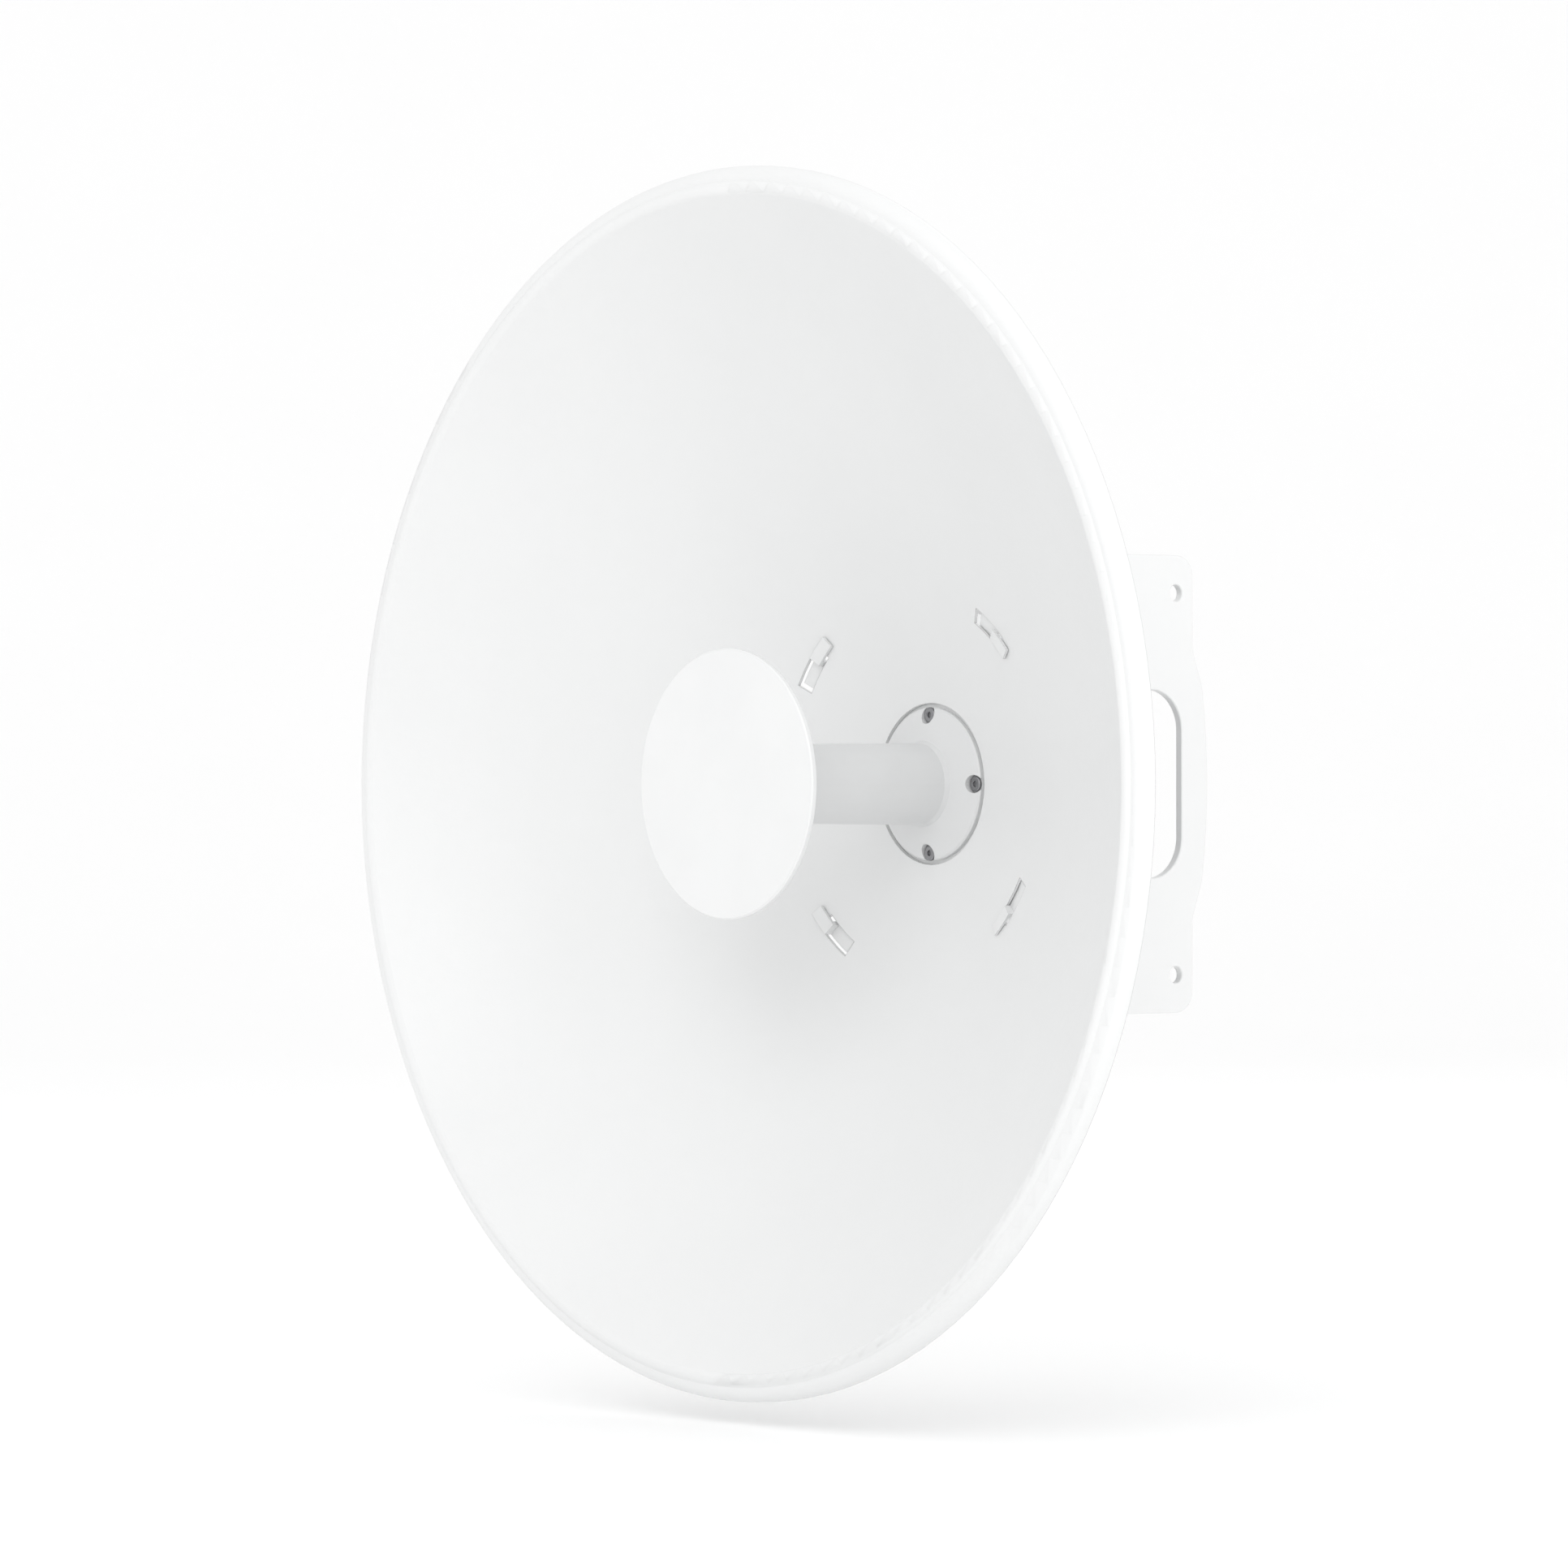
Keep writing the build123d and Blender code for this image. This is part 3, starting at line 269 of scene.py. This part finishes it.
def circuit(name):
    """Solder mask over a dense pattern of copper runs."""
    made, tree, shader = new_material(name)
    place = tree.nodes.new("ShaderNodeTexCoord")
    runs = tree.nodes.new("ShaderNodeTexBrick")
    runs.inputs["Scale"].default_value = 180.0
    runs.inputs["Mortar Size"].default_value = 0.03
    runs.inputs["Color1"].default_value = (0.012, 0.09, 0.04, 1.0)
    runs.inputs["Color2"].default_value = (0.016, 0.12, 0.055, 1.0)
    runs.inputs["Mortar"].default_value = (0.03, 0.2, 0.09, 1.0)
    tilt = tree.nodes.new("ShaderNodeMapping")
    tilt.inputs["Rotation"].default_value = (math.pi / 2, 0.0, 0.0)
    tree.links.new(place.outputs["Object"], tilt.inputs["Vector"])
    tree.links.new(tilt.outputs["Vector"], runs.inputs["Vector"])
    tree.links.new(runs.outputs["Color"], shader.inputs["Base Color"])
    tree.links.new(spread(tree, noise(tree, 300.0), 0.25, 0.4), shader.inputs["Roughness"])
    bumps(tree, shader, [(runs.outputs["Fac"], 0.3, 0.0001)])
    return made


def clear_lens(name):
    """Frosted light guide."""
    made, tree, shader = new_material(name)
    tree.links.new(
        ramp(tree, noise(tree, 200.0), 0.3, 0.7, (0.75, 0.82, 0.78), (0.85, 0.9, 0.86)),
        shader.inputs["Base Color"])
    tree.links.new(spread(tree, noise(tree, 900.0), 0.2, 0.35), shader.inputs["Roughness"])
    shader.inputs["Transmission Weight"].default_value = 0.4
    return made


WHITE = (0.79, 0.795, 0.795)
FEED_GREY = (0.735, 0.74, 0.742)
looks = {
    "white_coat": powder_coat("white_coat", WHITE),
    "cover_coat": powder_coat("cover_coat", (0.78, 0.785, 0.785), 1100.0),
    "white_plastic": moulded("white_plastic", (0.8, 0.805, 0.805)),
    "natural_plastic": moulded("natural_plastic", (0.7, 0.68, 0.62)),
    "black_plastic": moulded("black_plastic", (0.02, 0.02, 0.022), 0.5),
    "grey_plastic": moulded("grey_plastic", (0.25, 0.26, 0.27)),
    "black_rubber": rubber("black_rubber", (0.02, 0.02, 0.02)),
    "grey_pad": rubber("grey_pad", (0.14, 0.16, 0.2)),
    "steel": bare_metal("steel", (0.5, 0.5, 0.51)),
    "dark_steel": bare_metal("dark_steel", (0.3, 0.3, 0.31), 0.38),
    "galvanised": zinc("galvanised", (0.62, 0.63, 0.65)),
    "cast_alloy": cast_metal("cast_alloy", (0.6, 0.61, 0.62)),
    "aluminium": bare_metal("aluminium", (0.75, 0.76, 0.77), 0.35),
    "tin": bare_metal("tin", (0.68, 0.69, 0.7), 0.28, (1.0, 1.0, 9.0)),
    "brass": bare_metal("brass", (0.75, 0.55, 0.25), 0.28),
    "board_green": circuit("board_green"),
    "lens_clear": clear_lens("lens_clear"),
}

slot_of = {row["node"]: row["material_slot"] for row in frame["record"]["subparts"]}
# nodes that don't wear their slot's plain look
own_looks = {
    "feed_base": moulded("feed_plastic", FEED_GREY, 0.45),
    "feed_cone": moulded("cone_plastic", FEED_GREY, 0.45),
    # hooks: edges painted a darker grey, as painted shade along the gaps round the hook noses
    "lock_hooks": powder_coat("hook_coat_painted_edge_shade", WHITE, 900.0, 0.75, 0.0006),
    # dish: everything within 1 mm of an edge painted dark grey, as painted shade in the hook windows,
    # slit walls, rim crease and cut edges
    "reflector": powder_coat("dish_coat_painted_edge_shade", WHITE, 900.0, 0.5, 0.001),
}
for name, obj in nodes.items():
    obj.data.materials.clear()
    obj.data.materials.append(own_looks.get(name) or looks[slot_of[name]])


# ---------------------------------------------------------------- fasteners
M8_R = 0.004
M8_FLATS = 0.013
M8_WASHER_R = 0.0085
TILT_WASHER_R = 0.009
M8_PITCH = 0.00125
M8_NUT = 0.0068
M6_R = 0.003
M6_FLATS = 0.01
M6_PITCH = 0.001
FINE = 0.0001             # kept clear of the CAD box all round
SIDES = 72

CHAMFER_START = 0.95      # chamfer cones of hex heads and nuts, as a share of half the flats
CHAMFER_SLOPE = 0.58
SEAT_SLOPE = 0.3          # cone under a hex head
THREAD_DEPTH = 0.6        # as a share of the pitch
THREAD_ROWS = 6           # rings to a turn
KNURL_DEPTH = 0.00012
KNURL_RIDGES = 36

POLE_BRACKET_SHEET = 0.004
CLAMP_THREAD = 0.032
TILT_THREAD_SHARE = 0.7
TILT_BOLT_END = 0.0015    # bolt end past its nut
RING_WIDTH = 0.024
RING_BOLT_INSET = 0.009
RING_SHEET = 0.0025
RING_THREAD = 0.007
RING_BOLT_ANGLES = (55, 125, 235, 305)
FEED_SCREW_R = 0.0025
FEED_SCREW_HEAD_R = 0.00425
FEED_SCREW_HEAD = 0.0019
FEED_SCREW_KEY = 0.0029
COVER_SCREW_R = 0.0015
COVER_SCREW_HEAD_R = 0.0029
COVER_SCREW_HEAD = 0.0018
COVER_SCREW_KEY = 0.0024
HOOK_SHEET = 0.0016
RIVET_R = 0.0016
RIVET_HEAD_R = 0.0028
RIVET_DOME = 0.0009
RIVET_GRIP = 0.0045
RIVET_ANGLE = math.radians(53.6)
RIVET_SEAT_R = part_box("mount_ring")[1][0] + HOOK_SHEET
SEAL_BORE_R = 0.0027
SEAL_BODY_R = 0.005
SEAL_BODY = 0.002


def constant(value):
    """The same value at every angle."""
    return lambda angle: value


def hexagon(flats):
    """Distance from the middle to the side of a hexagon, by angle."""
    sixth = math.pi / 3
    return lambda angle: flats / 2 / math.cos((angle + sixth / 2) % sixth - sixth / 2)


def under_cone(shape, top, inner, slope):
    """Height of a shape's side under a chamfer cone that starts at the inner radius."""
    return lambda angle: top - slope * max(0.0, shape(angle) - inner)


def over_cone(shape, bottom, inner, slope):
    """Height of a shape's side above a chamfer cone on its lower end."""
    return lambda angle: bottom + slope * max(0.0, shape(angle) - inner)


def stack(bm, place, rings, close_start=True, close_end=True, sides=SIDES):
    """Skin over rings, each (radius by angle, height by angle), round the place's z axis."""
    angles = [2 * math.pi * step / sides for step in range(sides)]
    loops = []
    for radius, height in rings:
        loops.append([
            bm.verts.new(place @ Vector((
                radius(a) * math.cos(a), radius(a) * math.sin(a), height(a))))
            for a in angles])
    for lower, upper in zip(loops, loops[1:]):
        for i in range(sides):
            j = (i + 1) % sides
            bm.faces.new((lower[i], lower[j], upper[j], upper[i]))
    for close, loop, (_, height) in (
            (close_start, loops[0], rings[0]), (close_end, loops[-1], rings[-1])):
        if close:
            middle = bm.verts.new(place @ Vector((0, 0, height(0.0))))
            for i in range(sides):
                bm.faces.new((loop[i], loop[(i + 1) % sides], middle))


def tube(bm, place, rings, sides=SIDES):
    """Skin over rings that come back to the first one, as round a nut."""
    stack(bm, place, rings + rings[:1], False, False, sides)


def helix_r(r, pitch, depth, height):
    """Radius of a screw thread with flat crests at one height, by angle."""
    def radius(angle):
        turn = (height / pitch - angle / (2 * math.pi)) % 1.0
        return r - depth * (1 - min(1.0, 1.6 * abs(2 * turn - 1)))
    return radius


def threaded(start, end, r, pitch):
    """Rings of a threaded shank, with plain ends that run out."""
    depth = THREAD_DEPTH * pitch
    rows = int((end - start) / (pitch / THREAD_ROWS))
    rings = []
    for row in range(rows + 1):
        height = start + (end - start) * row / rows
        rings.append((helix_r(r, pitch, depth, height), constant(height)))
    return rings


def bolt(bm, place, r, flats, head, length, thread, pitch):
    """Hex bolt: the head stands on the place's xy plane and the shank goes down from it."""
    side = hexagon(flats - 2 * FINE)
    inner = flats / 2 * CHAMFER_START
    stack(bm, place, [
        (constant(inner), constant(0.0)),
        (side, over_cone(side, 0.0003, inner, SEAT_SLOPE)),
        (side, under_cone(side, head - FINE, inner, CHAMFER_SLOPE)),
        (constant(inner), constant(head - FINE)),
        (constant(inner * 0.8), constant(head - FINE)),
        (constant(inner * 0.74), constant(head - 0.0005)),
        (constant(inner * 0.2), constant(head - 0.00045))])
    end = -length + FINE
    shank = r - FINE
    rings = [
        (constant(shank * 0.72), constant(end)),
        (constant(shank * 0.86), constant(end + 0.0006))]
    rings += threaded(end + 0.0009, end + thread, shank, pitch)
    rings += [
        (constant(shank), constant(end + thread + 0.0008)),
        (constant(shank), constant(0.0))]
    stack(bm, place, rings, sides=36)


def nut(bm, place, bore, flats, height):
    """Hex nut standing on the place's xy plane, chamfered at both ends."""
    side = hexagon(flats - 2 * FINE)
    inner = flats / 2 * CHAMFER_START
    tube(bm, place, [
        (constant(bore + 0.0006), constant(FINE)),
        (constant(inner), constant(FINE)),
        (side, over_cone(side, FINE, inner, CHAMFER_SLOPE)),
        (side, under_cone(side, height - FINE, inner, CHAMFER_SLOPE)),
        (constant(inner), constant(height - FINE)),
        (constant(bore + 0.0006), constant(height - FINE)),
        (constant(bore), constant(height - 0.0008)),
        (constant(bore), constant(0.0008))])


def socket_screw(bm, place, r, head_r, head, length, key):
    """Cap screw with a knurled head and a hexagon socket."""
    def knurl(angle):
        return head_r - FINE - KNURL_DEPTH * (1 + math.cos(KNURL_RIDGES * angle)) / 2
    socket = hexagon(key)
    stack(bm, place, [
        (constant(r), constant(0.0)),
        (constant(head_r - 0.0004), constant(0.0)),
        (knurl, constant(0.0003)),
        (knurl, constant(head - 0.0005)),
        (constant(head_r - 0.00065), constant(head - FINE)),
        (constant(key / 2 * 1.28), constant(head - FINE)),
        (socket, constant(head - 0.0003)),
        (socket, constant(head - 0.0013)),
        (constant(key * 0.3), constant(head - 0.0015))], close_start=False, sides=144)
    stack(bm, place, [
        (constant(r * 0.8), constant(-length + FINE)),
        (constant(r - FINE), constant(-length + r)),
        (constant(r - FINE), constant(0.0))], sides=24)


def at(x, y, z, normal):
    """Transform that puts the local z axis along the normal at a place."""
    turn = Vector(normal).to_track_quat("Z", "Y").to_matrix().to_4x4()
    return Matrix.Translation((x, y, z)) @ turn


def piece(name, bm, body, look, node):
    """Finishes a mesh as a piece that stands for a CAD node."""
    bmesh.ops.recalc_face_normals(bm, faces=bm.faces)
    mesh = bpy.data.meshes.new(name)
    bm.to_mesh(mesh)
    bm.free()
    mesh.polygons.foreach_set("use_smooth", [True] * len(mesh.polygons))
    mesh.set_sharp_from_angle(angle=math.radians(32))
    mesh.materials.append(looks[look])
    made = bpy.data.objects.new(name, mesh)
    bpy.context.scene.collection.objects.link(made)
    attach(made, body)
    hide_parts(node)


def clamp_hardware():
    """Long clamp bolts and the nuts on the two rear jaws."""
    bolts_low, bolts_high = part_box("clamp_bolts")
    washers_low, washers_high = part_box("upper_washers")
    x = washers_high[0] - M8_WASHER_R
    z = (washers_low[2] + washers_high[2]) / 2
    seat_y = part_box("pole_bracket")[1][1] - POLE_BRACKET_SHEET
    bm = bmesh.new()
    for sx in (-x, x):
        for sz in (-z, z):
            bolt(bm, at(sx, seat_y, sz, (0, -1, 0)), M8_R, M8_FLATS,
                 seat_y - bolts_low[1], bolts_high[1] - seat_y, CLAMP_THREAD, M8_PITCH)
    piece("threaded_clamp_bolts", bm, "pole_side", "galvanised", "clamp_bolts")
    for jaw, sz in (("upper", z), ("lower", -z)):
        low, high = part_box(jaw + "_nuts")
        bm = bmesh.new()
        for sx in (-x, x):
            nut(bm, at(sx, low[1], sz, (0, 1, 0)), M8_R + FINE / 2, M8_FLATS, high[1] - low[1])
        piece(jaw + "_chamfered_nuts", bm, jaw + "_jaw", "galvanised", jaw + "_nuts")


def tilt_hardware():
    """Pivot and lock bolts through the side plates, with their nuts inside."""
    low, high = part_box("lock_bolts")
    pivot_y = (low[1] + high[1]) / 2
    washers_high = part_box("tilt_washers")[1]
    lock_z = washers_high[2] - TILT_WASHER_R
    seat_x = washers_high[0]
    nut_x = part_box("tilt_nuts")[1][0]
    length = seat_x - nut_x + M8_NUT + TILT_BOLT_END
    for node, name, heights in (
            ("pivot_bolts", "chamfered_pivot_bolts", (0.0,)),
            ("lock_bolts", "chamfered_lock_bolts", (-lock_z, lock_z))):
        bm = bmesh.new()
        for side in (-1, 1):
            for z in heights:
                bolt(bm, at(side * seat_x, pivot_y, z, (side, 0, 0)), M8_R, M8_FLATS,
                     high[0] - seat_x, length, length * TILT_THREAD_SHARE, M8_PITCH)
        piece(name, bm, "pole_side", "galvanised", node)
    bm = bmesh.new()
    for side in (-1, 1):
        for z in (-lock_z, 0.0, lock_z):
            nut(bm, at(side * nut_x, pivot_y, z, (-side, 0, 0)), M8_R + FINE / 2, M8_FLATS, M8_NUT)
    piece("chamfered_tilt_nuts", bm, "pole_side", "galvanised", "tilt_nuts")


def ring_hardware():
    """Bolts and nuts that hold the hook ring on the bracket."""
    ring_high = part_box("mount_ring")[1]
    head_low, shank_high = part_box("ring_bolts")
    nut_low, nut_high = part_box("ring_nuts")
    bolt_r = ring_high[0] - RING_WIDTH + RING_BOLT_INSET
    seat_y = ring_high[1] - RING_SHEET
    bm_bolts = bmesh.new()
    bm_nuts = bmesh.new()
    for degrees in RING_BOLT_ANGLES:
        x = bolt_r * math.cos(math.radians(degrees))
        z = bolt_r * math.sin(math.radians(degrees))
        bolt(bm_bolts, at(x, seat_y, z, (0, -1, 0)), M6_R, M6_FLATS, seat_y - head_low[1],
             shank_high[1] - seat_y, RING_THREAD, M6_PITCH)
        nut(bm_nuts, at(x, nut_low[1], z, (0, 1, 0)), M6_R + FINE / 2, M6_FLATS,
            nut_high[1] - nut_low[1])
    piece("chamfered_ring_bolts", bm_bolts, "antenna", "steel", "ring_bolts")
    piece("chamfered_ring_nuts", bm_nuts, "antenna", "steel", "ring_nuts")


def feed_hardware():
    """Knurled cap screws in the wells of the feed flange."""
    low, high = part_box("feed_screws")
    head_r = FEED_SCREW_HEAD_R
    circle = high[0] - head_r
    seat_y = low[1] + FEED_SCREW_HEAD
    bm = bmesh.new()
    for turn in range(4):
        x = circle * math.cos(turn * math.pi / 2)
        z = circle * math.sin(turn * math.pi / 2)
        socket_screw(bm, at(x, seat_y, z, (0, -1, 0)), FEED_SCREW_R, head_r, FEED_SCREW_HEAD,
                     high[1] - seat_y, FEED_SCREW_KEY)
    piece("knurled_feed_screws", bm, "antenna", "dark_steel", "feed_screws")


def cover_hardware():
    """Knurled cap screws in the corners of the radio's rear cover."""
    low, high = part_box("cover_screws")
    head_r = COVER_SCREW_HEAD_R
    seat_y = high[1] - COVER_SCREW_HEAD
    bm = bmesh.new()
    for x in (low[0] + head_r, high[0] - head_r):
        for z in (low[2] + head_r, high[2] - head_r):
            socket_screw(bm, at(x, seat_y, z, (0, 1, 0)), COVER_SCREW_R, head_r,
                         COVER_SCREW_HEAD, seat_y - low[1], COVER_SCREW_KEY)
    piece("knurled_cover_screws", bm, "antenna", "steel", "cover_screws")


def domed_rivets():
    """Rivets through the hook legs, with domed outer heads."""
    low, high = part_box("hook_rivets")
    bm = bmesh.new()
    for turn in range(4):
        around = RIVET_ANGLE + turn * math.pi / 2
        out = Vector((math.cos(around), 0.0, math.sin(around)))
        for y in (low[1] + RIVET_HEAD_R, high[1] - RIVET_HEAD_R):
            place = at(*(out * RIVET_SEAT_R + Vector((0, y, 0))), out)
            dome = [
                (constant(RIVET_HEAD_R * math.cos(rise) - FINE), constant(RIVET_DOME * math.sin(rise)))
                for rise in (0.0, 0.35, 0.7, 1.05, 1.35)]
            shank = [
                (constant(RIVET_R - FINE), constant(-RIVET_GRIP)),
                (constant(RIVET_R - FINE), constant(0.0))]
            stack(bm, place, shank + dome, sides=24)
    piece("domed_rivets", bm, "antenna", "aluminium", "hook_rivets")


def split_seal():
    """Ribbed rubber seal round the cable hole."""
    low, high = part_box("cable_seal")
    middle_y = (low[1] + high[1]) / 2
    flange_r = (high[0] - low[0]) / 2 - FINE
    height = high[2] - low[2]
    bm = bmesh.new()
    tube(bm, at(0, middle_y, high[2], (0, 0, -1)), [
        (constant(SEAL_BORE_R), constant(FINE)),
        (constant(SEAL_BODY_R - 0.0006), constant(FINE)),
        (constant(SEAL_BODY_R), constant(0.0006)),
        (constant(SEAL_BODY_R), constant(SEAL_BODY)),
        (constant(flange_r), constant(SEAL_BODY + 0.0001)),
        (constant(flange_r), constant(height - 0.0005)),
        (constant(flange_r - 0.0005), constant(height - FINE)),
        (constant(flange_r - 0.0012), constant(height - FINE)),
        (constant(flange_r - 0.0015), constant(height - 0.0003)),
        (constant(SEAL_BORE_R + 0.0007), constant(height - 0.0003)),
        (constant(SEAL_BORE_R), constant(height - 0.0008))], sides=48)
    piece("ribbed_cable_seal", bm, "door", "black_rubber", "cable_seal")


clamp_hardware()
tilt_hardware()
ring_hardware()
feed_hardware()
cover_hardware()
domed_rivets()
split_seal()


# ---------------------------------------------------------------- stage, light and camera
def aim(obj, target):
    """Points an object's -Z axis at a place."""
    obj.rotation_euler = (Vector(target) - obj.location).to_track_quat("-Z", "Y").to_euler()


def area_light(name, place, target, size, power):
    """Square white soft box."""
    data = bpy.data.lights.new(name, "AREA")
    data.shape = "SQUARE"
    data.size = size
    data.energy = power
    obj = bpy.data.objects.new(name, data)
    bpy.context.scene.collection.objects.link(obj)
    obj.location = place
    aim(obj, target)


def backdrop(name, half_width, near, far, low, high, bend):
    """Floor that curves up into a wall behind the object, seen from the camera's side."""
    steps = 12
    outline = [(near, low)]
    for step in range(steps + 1):
        turn = math.pi / 2 * step / steps
        outline.append((far - bend + bend * math.sin(turn), low + bend - bend * math.cos(turn)))
    outline.append((far, high))
    away = Vector((-math.sin(VIEW_AZIMUTH), math.cos(VIEW_AZIMUTH), 0.0))
    across = Vector((math.cos(VIEW_AZIMUTH), math.sin(VIEW_AZIMUTH), 0.0))
    verts = []
    for side in (-half_width, half_width):
        verts += [away * along + across * side + Vector((0, 0, up)) for along, up in outline]
    count = len(outline)
    faces = [(i, i + 1, count + i + 1, count + i) for i in range(count - 1)]
    mesh = bpy.data.meshes.new(name)
    mesh.from_pydata(verts, [], faces)
    mesh.polygons.foreach_set("use_smooth", [True] * len(faces))
    obj = bpy.data.objects.new(name, mesh)
    bpy.context.scene.collection.objects.link(obj)
    return obj


FLOOR_DROP = 0.012
PAPER_WHITE = (0.96, 0.96, 0.96)
PAPER_SHADE = (0.955, 0.955, 0.955)
WORLD_LIGHT = 1.02

floor = backdrop("floor", half_width=14.0, near=-9.0, far=9.0, low=-DISH_R - FLOOR_DROP, high=9.0,
                 bend=4.0)
paper, paper_tree, paper_shader = new_material("paper")
paper_tree.links.new(
    ramp(paper_tree, noise(paper_tree, 3.0), 0.3, 0.7, PAPER_SHADE, PAPER_WHITE),
    paper_shader.inputs["Base Color"])
paper_shader.inputs["Roughness"].default_value = 0.9
floor.data.materials.append(paper)

world = bpy.data.worlds.new("studio")
bpy.context.scene.world = world
world.use_nodes = True
sky = world.node_tree.nodes["Background"]
sky.inputs["Color"].default_value = (1.0, 1.0, 1.0, 1.0)
sky.inputs["Strength"].default_value = WORLD_LIGHT

area_light("key", (2.2, -3.2, 1.9), (0, -0.2, 0), size=2.2, power=26.0)
area_light("side", (3.4, -0.4, 0.8), (0, 0, 0), size=2.0, power=18.0)
area_light("rear", (-1.5, 3.0, 2.2), (0, 0, 0), size=2.0, power=6.0)

back = Vector((math.sin(VIEW_AZIMUTH), -math.cos(VIEW_AZIMUTH), 0.0))
right = Vector((math.cos(VIEW_AZIMUTH), math.sin(VIEW_AZIMUTH), 0.0))
camera_data = bpy.data.cameras.new("camera")
camera = bpy.data.objects.new("camera", camera_data)
bpy.context.scene.collection.objects.link(camera)
camera.location = APERTURE + back * VIEW_DISTANCE + right * VIEW_SIDE
camera.rotation_euler = (math.pi / 2, 0.0, VIEW_AZIMUTH)
camera_data.angle = FRAME_ANGLE
bpy.context.scene.camera = camera
bpy.context.scene.view_settings.view_transform = "Standard"
